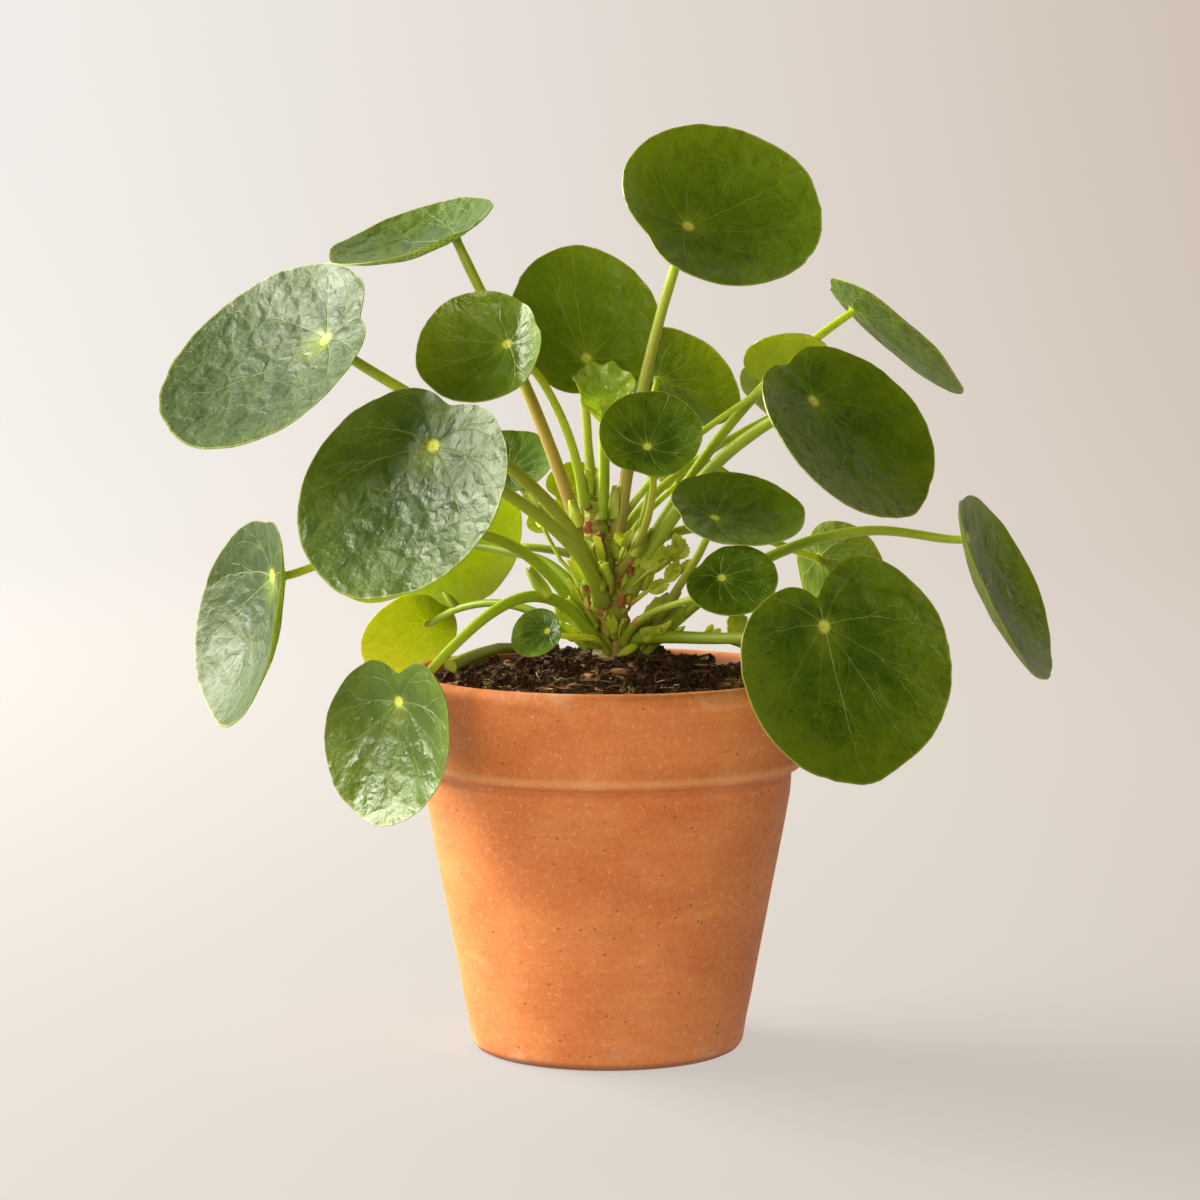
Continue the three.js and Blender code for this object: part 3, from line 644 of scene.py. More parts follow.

# Leaf stalks
# Each leaf hangs on a long juicy stalk that leaves its cushion on the trunk, arches out and bends
# into the underside of the blade. It is thickest at the foot, green, and browner low down.

# at: where the stalk meets the blade, in mm; width: of the blade; face: bearing and elevation of
# its upper face; roll: of its point; root: height on the trunk; climb, swing, reach, neck: how the
# stalk leaves the trunk and meets the blade; foot: its width; cup, curl, notch, hold: shape of the
# blade and how far off its middle it is held; brown: of the stalk; age: 0 new, 1 old; the last: a
# rougher sheen on the upper face, and painted shade that darkens and greys it
Leaf = namedtuple("Leaf", "at width face roll root climb swing reach neck foot "
                          "cup curl notch hold brown age silver")
LEAVES = {name: Leaf(*values) for name, *values in (
    ("01", (-92, -45, 243), 81, (-41, 43), -56, 160, 79, 35, 0.3, 11, 4.9,
     0.15, -0.01, 0.26, 0.5, 0.35, 0.9, 0.95),
    ("02", (-56, -72, 210), 76, (-29, 30), -14, 154, 45, 26, 0.43, 14, 5.0,
     0.12, 0.02, 0.26, 0.49, 0.2, 0.95, 0.6),
    ("03", (-112, -20, 163), 71, (-65, 13), 3, 144, 62, 15, 0.7, 16, 4.2,
     0.25, 0.09, 0.1, 0.46, 0.1, 0.8, 0.9),
    ("04", (-68, -62, 126), 56, (-41, 9), 1, 140, 51, 10, 0.72, 8, 4.4,
     0.12, 0.06, 0.42, 0.43, 0.0, 0.5, 0.3),
    ("05", (-52, 25, 275), 60, (-54, 68), -59, 173, 68, -14, 0.45, 5, 4.8,
     0.24, 0.0, 0.2, 0.52, 0.9, 0.6, 0.6),
    ("06", (-33, -35, 241), 43, (-10, 34), -66, 186, 74, 10, 0.7, 5, 3.4,
     0.18, 0.07, 0.13, 0.41, 0.2, 0.45, 0.2),
    ("07", (-7, 12, 234), 54, (20, 19), -180, 185, 62, -9, 0.36, 9, 3.8,
     0.08, 0.08, 0.15, 0.46, 0.6, 0.5, 0.2),
    ("08", (27, -5, 279), 70, (16, 40), 112, 176, 82, 2, 0.59, 12, 4.6,
     0.2, 0.01, 0.22, 0.35, 0.8, 0.5, 0.2),
    ("09", (18, 34, 226), 46, (148, 39), -64, 163, 46, -27, 0.4, 12, 3.6,
     0.15, 0.06, 0.25, 0.25, 0.2, 0.75, 0.0),
    ("10", (13, -45, 208), 34, (0, 36), 162, 163, 46, 32, 0.55, 5, 3.0,
     0.1, 0.1, 0.18, 0.21, 0.7, 0.9, 0.1),
    ("11", (85, 30, 250), 60, (105, 48), -24, 159, 61, -4, 0.68, 7, 4.0,
     0.07, 0.03, 0.15, 0.55, 0.15, 0.7, 0.2),
    ("12", (68, -30, 222), 69, (41, 37), 20, 157, 63, 8, 0.72, 7, 5.0,
     0.09, 0.1, 0.22, 0.44, 0.1, 0.65, 0.0),
    ("13", (62, 4, 233), 30, (182, 51), 121, 176, 56, 18, 0.56, 7, 2.6,
     0.04, 0.02, 0.17, 0.1, 0.1, 0.2, 0.0),
    ("14", (122, 0, 174), 68, (72, 25), 3, 136, 45, 5, 0.75, 11, 4.2,
     0.2, 0.07, 0.12, 0.58, 0.05, 0.6, 0.1),
    ("15", (70, -66, 151), 79, (27, 18), 8, 141, 4, 5, 0.46, 24, 4.6,
     0.08, 0.13, 0.6, 0.33, 0.1, 0.9, 0.1),
    ("16", (35, -48, 185), 45, (14, 62), 95, 138, 56, 38, 0.55, 5, 3.2,
     0.12, 0.03, 0.2, 0.33, 0.4, 0.6, 0.1),
    ("17", (37, -55, 166), 30, (-9, 46), 53, 140, 48, -10, 0.38, 13, 3.0,
     0.12, 0.06, 0.15, 0.33, 0.2, 0.85, 0.2),
    ("18", (75, 55, 162), 43, (132, 8), -38, 156, 67, 7, 0.53, 7, 3.8,
     0.06, 0.18, 0.2, 0.48, 0.2, 0.6, 0.1),
    ("19", (-63, 38, 141), 36, (-154, 26), 33, 137, 41, 17, 0.68, 5, 3.2,
     0.12, 0, 0.15, 0.46, 0.0, 0.0, 0.0),
    ("20", (-53, 38, 170), 54, (-146, 26), -43, 150, 58, -1, 0.5, 10, 3.8,
     0.13, 0.15, 0.2, 0.28, 0.1, 0.1, 0.0),
    ("21", (-34, 24, 196), 31, (-10, 50), 160, 167, 50, 24, 0.46, 7, 2.6,
     0.1, 0.1, 0.1, 0.1, 0.2, 0.7, 0.4),
    ("22", (-20, -41, 147), 18, (-24, 33), -63, 137, 52, 11, 0.29, 7, 2.4,
     0.1, 0.08, 0.18, 0.38, 0.2, 0.75, 0.2),
    ("23", (-78, 81, 163), 46, (-140, 35), -50, 146, 28, -50, 0.66, 8, 3.4,
     0.12, 0.1, 0.2, 0.4, 0.2, 0.6, 0.1),
    ("24", (25, 50, 190), 33, (148, 50), -65, 160, 62, -4, 0.53, 9, 2.8,
     0.08, 0.05, 0.2, 0.44, 0.1, 0.2, 0.0),
    ("25", (68, 60, 219), 42, (150, 50), 86, 169, 48, 14, 0.45, 9, 3.2,
     0.05, -0.05, 0.12, 0.1, 0.2, 0.45, 0.0),
    ("26", (-14, 50, 187), 20, (-172, 38), -130, 160, 55, 0, 0.45, 6, 2.6,
     0.06, 0.02, 0.2, 0.3, 0.1, 0.3, 0.0),
    ("27", (-20, 66, 175), 16, (-154, 38), 110, 152, 55, 0, 0.45, 5, 2.4,
     0.06, 0.05, 0.18, 0.14, 0.1, 0.3, 0.0),
    ("28", (-6, 84, 237), 42, (180, 32), -170, 173, 68, -13, 0.51, 10, 3.6,
     0.08, 0.05, 0.2, 0.38, 0.3, 0.8, 0.2),
    ("young", (-1.5, 3, 219), 21, (12, 24), 176, 182, 84, -110, 0.4, 6, 3.0,
     0.1, 0.4, 0.1, 0.4, 0.0, 0.0, 0.0),
)}
STALK_RINGS, STALK_SIDES = 44, 7
TRUNK_FOOT, TRUNK_TOP = 133, 186
STALK_GREEN, STALK_TOP, STALK_BLOTCH, STALK_LINE = (
    (0.24, 0.375, 0.02), (0.29, 0.395, 0.03), (0.19, 0.30, 0.012), (0.50, 0.55, 0.07))
STALK_BROWN, FOOT_BROWN = (0.39, 0.19, 0.10), (0.22, 0.13, 0.05)


def bearing(azimuth, elevation):
    """The direction at an azimuth and an elevation in degrees, seen from the middle of the pot."""
    a, e = math.radians(azimuth), math.radians(elevation)
    return Vector((math.cos(e) * math.sin(a), -math.cos(e) * math.cos(a), math.sin(e)))


def trunk_at(height):
    """Centre and radius of the trunk at a height, in mm."""
    share = min(1, max(0, (height - TRUNK_FOOT) / (TRUNK_TOP - TRUNK_FOOT)))
    return Vector((3 - 8 * share, 0, height)), 8 - 4.6 * share


def stalk_route(leaf, rings):
    """Points from the cushion on the trunk to the blade, on one smooth bend."""
    centre, radius = trunk_at(leaf.root)
    azimuth = math.degrees(math.atan2(leaf.at[0] - centre.x, centre.y - leaf.at[1])) + leaf.swing
    away = bearing(azimuth, leaf.climb)
    start = centre + bearing(azimuth, 0) * (radius + leaf.foot / 2 + 0.5) - away * 1.2
    normal = bearing(*leaf.face)
    end = Vector(leaf.at) - normal * 0.6
    span = (end - start).length
    handles = (start, start + away * (leaf.reach * span), end - normal * leaf.neck, end)
    points = []
    for step in range(rings):
        t = step / (rings - 1)
        weights = ((1 - t) ** 3, 3 * t * (1 - t) ** 2, 3 * t * t * (1 - t), t**3)
        points.append(sum((h * w for h, w in zip(handles, weights)), Vector()))
    return points


def tinted(mesh, *values):
    """Four values that the skin reads, the same all over one leaf."""
    tint = mesh.color_attributes.new("tint", "FLOAT_COLOR", "POINT")
    tint.data.foreach_set("color", np.tile(values, len(mesh.vertices)))


def stalk_piece(name, leaf):
    seed = sum(ord(c) for c in name)
    points, radii = [], []
    for step, point in enumerate(stalk_route(leaf, STALK_RINGS)):
        t = step / (STALK_RINGS - 1)
        taper = 1 - 0.32 * min(1, t * 1.15)
        swell = 0.28 * math.exp(-((t / 0.05) ** 2)) + 0.2 * math.exp(-(((1 - t) / 0.035) ** 2))
        wander = 0.035 * noise.noise(Vector((t * 7, seed, 0)))
        radii.append(leaf.foot / 2 * (taper + swell + wander))
        wobble = noise.noise_vector(Vector((step / STALK_RINGS * 4, seed, 5)))
        points.append(point + wobble * (0.5 * math.sin(math.pi * step / (STALK_RINGS - 1))))
    stalk = bent_tube(name, points, radii, STALK_SIDES)
    mesh = stalk.data
    around = len(mesh.vertices) // STALK_RINGS
    for layer in list(mesh.uv_layers):
        mesh.uv_layers.remove(layer)
    layer = mesh.uv_layers.new(name="along")
    for face in mesh.polygons:
        turns = [mesh.loops[l].vertex_index % around for l in face.loop_indices]
        wraps = max(turns) - min(turns) > around / 2 and len(turns) == 4
        for l, turn in zip(face.loop_indices, turns):
            ring = mesh.loops[l].vertex_index // around
            u = (turn + (around if wraps and turn < around / 2 else 0)) / around
            layer.data[l].uv = (u, ring / (STALK_RINGS - 1))
    tinted(mesh, leaf.brown, (seed * 0.137) % 1.0, leaf.age, 1.0)
    keep_smooth(stalk, 60)
    return stalk


juicy, tree, shader = new_material("stalk_skin", {
    "Roughness": 0.42, "Subsurface Weight": 0.4, "Subsurface Radius": (1.0, 0.9, 0.25),
    "Subsurface Scale": 0.012, "Specular Tint": (0.9, 1.0, 0.6, 1)})
along = add_node(tree, "UVMap", uv_map="along").outputs[0]
tint = add_node(tree, "VertexColor", layer_name="tint").outputs[0]
brown = add_node(tree, "SeparateColor", {0: tint}).outputs[0]
share = axes_of(along)[1]
blotch = noise_value(object_place(tree), 60, 3)
drawn_out = add_node(tree, "Mapping", {0: along, "Scale": (26, 1.4, 1)}).outputs[0]
lines = noise_value(drawn_out, 1, 3, 0.6)
low_brown = times(between(share, 0.85, 0.25), brown)
foot_brown = times(between(share, 0.09, 0.0), between(lines, 0.35, 0.6))
colour = layered(
    mixed(between(share, 0.0, 0.9), STALK_GREEN, STALK_TOP),
    (between(blotch, 0.35, 0.7, 0, 0.4), STALK_BLOTCH),
    (between(lines, 0.5, 0.75, 0, 0.25), STALK_LINE),
    (times(low_brown, between(blotch, 0.25, 0.6, 0.3, 0.75)), STALK_BROWN),
    (times(foot_brown, 0.5), FOOT_BROWN),
)
finish_skin(shader, colour, plus(lines, blotch), 0.25, 0.0004)

for name, leaf in LEAVES.items():
    if name != "young":
        stalk = stalk_piece(f"stalk_{name}", leaf)
        stalk.data.materials.append(juicy)
        fix_to_plant(stalk, "leaf_stalk", f"leaf_{name}_stalk")

# Leaf blades
# Round shield-shaped leaves, held from below at a pale spot off their middle, with a notch behind
# it. Veins run out from the spot, bend towards the tip and fork, and the blade bulges between them.

BLANK_SPOKES, BLANK_RINGS = 96, 26
BLADE_THICKNESS, YOUNG_CRUMPLE = 0.8, 3.4
# a lobe that is smaller than its partner: its direction from the leaf's point, and the share off
LOPPED = {"15": (-2.4, 0.27)}
# an edge that turns up: its direction, where it starts in mm, and how fast it turns
TURNED_UP = {"06": (2.85, 3.2, 0.065), "08": (2.6, 14, 0.02)}
VEIN_ANGLES = [-145, -100, -61, -28, 0, 28, 61, 100, 145]
SPOT_GLOW, SPOT, SPOT_EYE, MARGIN_RIM_LIGHT, SHADE_PAINT_GREEN = (
    (0.26, 0.37, 0.02), (0.70, 0.78, 0.10), (0.50, 0.30, 0.08), (0.33, 0.38, 0.05),
    (0.022, 0.040, 0.011))

blank_rings = [(0.004, 0)]
blank_rings += [((j / BLANK_RINGS) ** 0.92, 0) for j in range(1, BLANK_RINGS + 1)]
blank = rings_drawn_out("blade_blank", BLANK_SPOKES, blank_rings)
close_middle(blank, 0.005)
if blank.data.polygons[10].normal.z < 0:
    blank.data.flip_normals()


def vein_place(angle, share, stops):
    """How far round the leaf a place is, counted in veins: a whole number on each vein."""
    unbent = angle + 0.42 * share**1.4 * np.sin(angle)
    turns = np.floor((unbent + math.pi) / (2 * math.pi))
    count = len(stops) - 1
    inside = np.interp(unbent - turns * 2 * math.pi, stops, np.arange(count + 1) - count / 2)
    return inside + turns * count


def noise_over(xs, ys, scale, seed):
    return np.array([noise.noise(Vector((x * scale, y * scale, seed))) for x, y in zip(xs, ys)])


def blade_surface(name, leaf, x, y, seed):
    """Places in mm on the upper face for places on the unit blank, the veins' stops, and how far
    out each place is."""
    radius = leaf.width / 2
    share = np.hypot(x, y)
    angle = np.arctan2(y, x)
    offset = leaf.hold * radius
    reach = offset * np.cos(angle) + np.sqrt(radius**2 - (offset * np.sin(angle)) ** 2)
    reach *= 1 - leaf.notch * np.exp(-(((math.pi - np.abs(angle)) / 0.48) ** 2))
    reach *= 1 + 0.025 * np.exp(-((angle / 0.16) ** 2))
    draw = random.Random(seed)
    stops = [math.radians(a + draw.uniform(-6, 6)) for a in VEIN_ANGLES]
    stops = [-math.pi, *stops, math.pi]
    vein = vein_place(angle, share, stops)
    off_vein = np.abs(vein - np.round(vein))
    middle, amount = LOPPED.get(name, (0, 0))
    from_middle = (angle - middle + math.pi) % (2 * math.pi) - math.pi
    reach *= 1 - amount * np.exp(-((from_middle / 0.65) ** 2))
    edge = noise_over(np.cos(angle), np.sin(angle), 2.2, seed)
    teeth = noise_over(np.cos(angle), np.sin(angle), 13, seed + 9)
    reach *= 1 + share**4 * (0.008 * edge - 0.010 + 0.008 * teeth)
    reach *= 1 - 0.006 * share**8 * np.clip(1 - off_vein * 7, 0, 1)
    px, py = reach * share * np.cos(angle), reach * share * np.sin(angle)
    bowl = leaf.cup * ((px - offset) ** 2 + py**2 - offset**2) / radius**2
    lift = radius * (bowl + leaf.curl * (py / radius) ** 2)
    middle, start, amount = TURNED_UP.get(name, (0, radius * 2, 0))
    beyond = np.clip(px * math.cos(middle) + py * math.sin(middle) - start, 0, None)
    lift += amount * beyond**2
    size = min(1, radius / 30)
    bulge = 0.42 * size * share * (1 - share**5) * (1 - np.exp(-((off_vein / 0.2) ** 2)))
    swells = 0.36 * size * noise_over(px, py, 1 / 8.5, seed * 1.7) * np.clip(share * 3, 0, 1)
    ripple = 0.07 * size * noise_over(px, py, 1 / 3.4, seed * 0.7)
    wave = edge * share**5 * 0.8 * size
    dimple = -0.45 * np.exp(-((np.hypot(px, py) / 2.6) ** 2))
    height = lift + (bulge + swells + ripple + wave + dimple)
    return np.stack([px, py, height], axis=1), stops, share


def leaf_turn(leaf):
    """The turn and place of a leaf: X to its point, Z out of its upper face."""
    normal = bearing(*leaf.face)
    downhill = (Vector((0, 0, -1)) + normal * normal.z).normalized()
    side = normal.cross(downhill)
    roll = math.radians(leaf.roll)
    point = downhill * math.cos(roll) + side * math.sin(roll)
    across = normal.cross(point)
    turn = Matrix((point, across, normal)).transposed().to_4x4()
    return Matrix.Translation(Vector(leaf.at) * MM) @ turn


def blade_piece(piece_name, name, leaf, skins, crumple=0.0):
    deselect()
    mesh = blank.data.copy()
    blade = bpy.data.objects.new(piece_name, mesh)
    bpy.context.scene.collection.objects.link(blade)
    mesh.name = piece_name
    seed = sum(ord(c) * (k + 3) for k, c in enumerate(piece_name)) % 97
    flat = corners_of(mesh)
    points, stops, share = blade_surface(name, leaf, flat[:, 0], flat[:, 1], seed)
    if crumple:
        for i, (a, b, c) in enumerate(points):
            fold = noise.noise_vector(Vector((a / 4.4, b / 4.4, seed)))
            points[i] += np.array(fold) * crumple * share[i]
    set_corners(mesh, points * MM)
    flat_map = mesh.uv_layers.new(name="flat")
    vein_map = mesh.uv_layers.new(name="veins")
    for face in mesh.polygons:
        centre = np.mean([flat[v, :2] for v in face.vertices], axis=0)
        middle = math.atan2(centre[1], centre[0])
        for l in face.loop_indices:
            v = mesh.loops[l].vertex_index
            angle = math.atan2(flat[v, 1], flat[v, 0]) if share[v] > 1e-3 else middle
            angle += 2 * math.pi * round((middle - angle) / (2 * math.pi))
            vein = float(vein_place(np.array(angle), np.array(share[v]), stops))
            flat_map.data[l].uv = (points[v, 0] / 100 + 0.5, points[v, 1] / 100 + 0.5)
            vein_map.data[l].uv = (vein / 20 + 0.5, share[v])
    tinted(mesh, leaf.age, (seed * 0.317) % 1.0, leaf.silver, math.sqrt(leaf.width / 75))
    for skin in skins:
        mesh.materials.append(skin)
    thin_edge = blade.vertex_groups.new(name="thick")
    for i, s in enumerate(share):
        thin_edge.add([i], 1 - 0.55 * s**5, "REPLACE")
    bpy.context.view_layer.objects.active = blade
    blade.select_set(True)
    thickness = blade.modifiers.new("thickness", "SOLIDIFY")
    thickness.thickness = BLADE_THICKNESS * MM
    thickness.offset = -1
    thickness.vertex_group = "thick"
    thickness.thickness_vertex_group = 0.1
    thickness.material_offset = 1
    thickness.material_offset_rim = 0
    bpy.ops.object.modifier_apply(modifier="thickness")
    mesh.transform(leaf_turn(leaf))
    keep_smooth(blade, 75)
    return blade


# the net of veins that every leaf skin uses, read from the flat leaf in mm and from the vein count
veins = bpy.data.node_groups.new("leaf_veins", "ShaderNodeTree")
for name, kind in (("Flat", "Vector"), ("Veins", "Vector"), ("Seed", "Float"), ("Size", "Float")):
    veins.interface.new_socket(name, in_out="INPUT", socket_type="NodeSocket" + kind)
for name in ("Main", "Net", "Spot", "Eye", "Margin", "Height", "Mottle"):
    veins.interface.new_socket(name, in_out="OUTPUT", socket_type="NodeSocketFloat")
ins = veins.nodes.new("NodeGroupInput").outputs
in_mm = stretched(moved(ins["Flat"], (0.5, 0.5, 0), "SUBTRACT"), 100.0)
radius = length_of(in_mm)
shift = add_node(veins, "CombineXYZ", {2: times(ins["Seed"], 40.0)}).outputs[0]
spread = moved(in_mm, shift)
count, share, _ = axes_of(ins["Veins"])
count = times(worked("SUBTRACT", count, 0.5), 20.0)
wander = worked("SUBTRACT", noise_value(spread, 0.13, 3, 0.6), 0.5)
count = plus(count, times(wander, times(share, 0.45)))
off = apart(worked("FRACT", plus(count, 40.5), 0.0), 0.5)
arc = times(radius, 0.66)
main_off = worked("DIVIDE", times(off, arc), ins["Size"])
midrib = between(apart(count, 0.0), 0.35, 0.6, 1.0, 0.55)
main = times(between(main_off, 0.08, 0.36, 1, 0), times(midrib, between(share, 0.45, 1.0, 1, 0.3)))
forked = between(share, 0.42, 0.95, 0, 0.42, False)
fork = times(between(times(apart(off, forked), arc), 0.06, 0.28, 0.3, 0), between(share, 0.42, 0.5))
main = worked("MAXIMUM", main, times(fork, between(share, 0.75, 0.98, 1, 0.2)))
bent = wobbled(spread, 0.25, 2, 3.2)
cells, small_cells = cell_walls(bent, 0.125), cell_walls(bent, 0.33)
patchy = noise_value(spread, 0.09, 2)
net = times(between(cells, 0.0, 0.03, 1, 0), between(patchy, 0.45, 0.62, 0.04, 1))
small_net = times(between(small_cells, 0.0, 0.06, 0.22, 0), between(patchy, 0.55, 0.35))
from_spot = worked("DIVIDE", radius, ins["Size"])
cushions = plus(between(cells, 0.0, 0.4, 0, 0.8), times(main, -0.8))
outs = veins.nodes.new("NodeGroupOutput").inputs
for name, value in (
    ("Main", main),
    ("Net", worked("MAXIMUM", net, small_net)),
    ("Spot", between(from_spot, 1.1, 2.9, 1, 0)),
    ("Eye", between(from_spot, 0.25, 0.8, 1, 0)),
    ("Margin", between(share, 0.982, 0.998)),
    ("Mottle", noise_value(spread, 0.085, 4, 0.62, 0.4)),
    ("Height", plus(cushions, between(small_cells, 0.0, 0.4, 0, 0.16))),
):
    veins.links.new(value, outs[name])


def leaf_skin(name, roughness, gloss, dark, light, young, vein, bump, through, depth):
    """The skin of a leaf; through and depth say how much light passes into it, and how far."""
    material, tree, shader = new_material(name, {
        "Roughness": roughness, "Subsurface Weight": through, "Subsurface Scale": depth,
        "Subsurface Radius": (0.72, 1.0, 0.035), "Specular IOR Level": gloss,
        "Specular Tint": (0.93, 1.0, 0.84, 1)})
    lines = add_node(tree, "UVMap", uv_map="veins").outputs[0]
    tint = add_node(tree, "VertexColor", layer_name="tint").outputs
    age, seed, silver = add_node(tree, "SeparateColor", {0: tint[0]}).outputs
    flat = add_node(tree, "UVMap", uv_map="flat").outputs[0]
    pattern = add_node(tree, "Group", node_tree=veins)
    for socket, value in (("Flat", flat), ("Veins", lines), ("Seed", seed), ("Size", tint[1])):
        tree.links.new(value, pattern.inputs[socket])
    pattern = pattern.outputs
    share = axes_of(lines)[1]
    mottle = plus(pattern["Mottle"], between(share, 0.35, 0.95, -0.08, 0.16))
    colour = mixed(between(mottle, 0.28, 0.8), dark, light)
    colour = mixed(between(age, 0.75, 0.0, 0, 0.9), colour, young)
    # painted shade: the upper face darkened and greyed on the leaves that catch the most light,
    # beside their rougher sheen
    if name == "leaf_upper_face":
        colour = mixed(times(silver, 0.88), colour, SHADE_PAINT_GREEN)
    colour = layered(
        colour,
        (times(pattern["Net"], 0.2), vein),
        (times(pattern["Main"], 0.42), vein),
        (times(between(share, 0.26, 0.0), 0.45), SPOT_GLOW),
        (pattern["Spot"], SPOT),
        (times(pattern["Eye"], 0.35), SPOT_EYE),
        # a pale rim painted along the margin: painted light for the glow through the thin edge
        (times(pattern["Margin"], 0.6), MARGIN_RIM_LIGHT),
    )
    fine = noise_value(object_place(tree), 1500, 2)
    finish_skin(shader, colour, plus(pattern["Height"], times(fine, 0.12)), bump, 0.0007)
    patch = between(pattern["Mottle"], 0.3, 0.7, roughness - 0.06, roughness + 0.1)
    tree.links.new(plus(patch, times(silver, 0.16)), shader.inputs["Roughness"])
    return material


leaf_top = leaf_skin(
    "leaf_upper_face", roughness=0.29, gloss=0.55, dark=(0.035, 0.087, 0.001),
    light=(0.102, 0.184, 0.001), young=(0.175, 0.285, 0.002), vein=(0.34, 0.43, 0.06),
    bump=0.5, through=0.05, depth=0.012)
leaf_under = leaf_skin(
    "leaf_underside", roughness=0.52, gloss=0.2, dark=(0.045, 0.085, 0.001),
    light=(0.085, 0.135, 0.002), young=(0.27, 0.345, 0.008), vein=(0.50, 0.56, 0.13),
    bump=0.5, through=0.15, depth=0.014)
young_top = leaf_skin(
    "young_leaf_face", roughness=0.25, gloss=0.8, dark=(0.20, 0.40, 0.02),
    light=(0.34, 0.54, 0.05), young=(0.32, 0.52, 0.04), vein=(0.52, 0.66, 0.14),
    bump=0.8, through=0.25, depth=0.012)

for name, leaf in LEAVES.items():
    if name != "young":
        blade = blade_piece(f"blade_{name}", name, leaf, (leaf_top, leaf_under))
        fix_to_plant(blade, "leaf_blade", f"leaf_{name}_blade")

young = LEAVES["young"]
young_stalk = stalk_piece("young_stalk", young)
young_stalk.data.materials.append(juicy)
young_blade = blade_piece("young_blade", "young", young, (young_top, leaf_under), YOUNG_CRUMPLE)
for piece in (young_stalk, young_blade):
    fix_to_plant(piece, "young_leaf", "young_leaf")
drop(blank)

# Trunk
# A short knobby stem: green cushions under the stalks run together over a browner core, with leaf
# scars, papery orange stipules, buds and a few weak shoots, and a rooty pale foot.

CORE_GRAIN, CORE_SOFTENING = 0.00045, 7
STEM_GREEN, STEM_PALE, STEM_BAND, LEAF_SCAR, ROOTY_FOOT = (
    (0.22, 0.28, 0.02), (0.38, 0.40, 0.05), (0.30, 0.15, 0.05), (0.16, 0.055, 0.02),
    (0.26, 0.16, 0.09))
PAPER_BROWN, PAPER_ORANGE, PAPER_LINE = (0.22, 0.065, 0.02), (0.56, 0.22, 0.07), (0.66, 0.36, 0.15)
SHOOT, SHOOT_PALE, SHOOT_DARK, SHOOT_SCORCH = (
    (0.30, 0.40, 0.02), (0.48, 0.55, 0.05), (0.16, 0.24, 0.01), (0.38, 0.22, 0.07))

deselect()
trunk_core = frame["nodes"]["trunk"].copy()
trunk_core.data = frame["nodes"]["trunk"].data.copy()
trunk_core.name = trunk_core.data.name = "trunk_core"
for key in list(trunk_core.keys()):
    del trunk_core[key]
trunk_core.parent = None
trunk_core.data.materials.clear()
bpy.context.scene.collection.objects.link(trunk_core)
bpy.context.view_layer.objects.active = trunk_core
trunk_core.select_set(True)
bpy.ops.object.mode_set(mode="EDIT")
bpy.ops.mesh.select_all(action="SELECT")
bpy.ops.mesh.remove_doubles(threshold=1e-5)
bpy.ops.object.mode_set(mode="OBJECT")
trunk_core.data.remesh_voxel_size = CORE_GRAIN
bpy.ops.object.voxel_remesh()
soften = trunk_core.modifiers.new("soften", "SMOOTH")
soften.factor = 0.5
soften.iterations = CORE_SOFTENING
bpy.ops.object.modifier_apply(modifier="soften")
shaped = corners_of(trunk_core.data)
outward = np.zeros(len(trunk_core.data.vertices) * 3)
trunk_core.data.vertices.foreach_get("normal", outward)
outward = outward.reshape(-1, 3)
for i, (x, y, z) in enumerate(shaped):
    place = Vector((x, y, z))
    knobs = 0.45 * noise.noise(place * 330) + 0.2 * noise.noise(Vector((x, y, z * 2)) * 900)
    rings = 0.16 * math.sin(z / MM * 2.2 + 2 * noise.noise(place * 90))
    low = 1.1 * max(0, 1 - abs(z / MM - TRUNK_FOOT) / 5)
    low *= noise.noise(Vector((x, y, z * 0.3)) * 420)
    shaped[i] += outward[i] * (knobs + rings + low) * MM
set_corners(trunk_core.data, shaped)
keep_smooth(trunk_core, 60)
fix_to_plant(trunk_core, "trunk", "trunk")

stem_skin, tree, shader = new_material("trunk_skin", {
    "Roughness": 0.6, "Subsurface Weight": 0.12, "Subsurface Radius": (1.0, 0.8, 0.3),
    "Subsurface Scale": 0.0008})
place = object_place(tree)
blotch = noise_value(place, 130, 4, 0.65)
bands = noise_value(object_place(tree, (0.6, 0.6, 3)), 210, 3, 0.6, 0.5)
colour = layered(
    mixed(between(blotch, 0.35, 0.65), STEM_GREEN, STEM_PALE),
    (between(bands, 0.48, 0.6, 0, 0.7), STEM_BAND),
    (between(blotch, 0.54, 0.66, 0, 0.85), LEAF_SCAR),
    (between(axes_of(place)[2], 0.142, 0.133, 0, 0.8), ROOTY_FOOT),
)
finish_skin(shader, colour, plus(blotch, bands), 0.6, 0.0009)
trunk_core.data.materials.append(stem_skin)

# the outer face of the stem and of the stalks' feet, on which scales, buds and shoots are seated
skin_points, skin_faces = [], []
stalks = [o for o in bpy.context.scene.objects if o.name.startswith("stalk_")]
for piece in [trunk_core, *stalks]:
    skin_faces += [[len(skin_points) + v for v in f.vertices] for f in piece.data.polygons]
    skin_points += [v.co.copy() for v in piece.data.vertices]
plant_skin = BVHTree.FromPolygons(skin_points, skin_faces)


def seat_at(place, azimuth, roll, lean, size, wide=1.0):
    """A seat at a place, turned to a bearing, rolled and leant in degrees, and grown."""
    turn = Matrix.Rotation(math.radians(azimuth), 4, "Z")
    turn = turn @ Matrix.Rotation(math.radians(roll), 4, "Y")
    turn = turn @ Matrix.Rotation(math.radians(lean), 4, "X")
    grown = Matrix.Diagonal((size * wide * MM, size * MM, size * MM, 1))
    return Matrix.Translation(place) @ turn @ grown


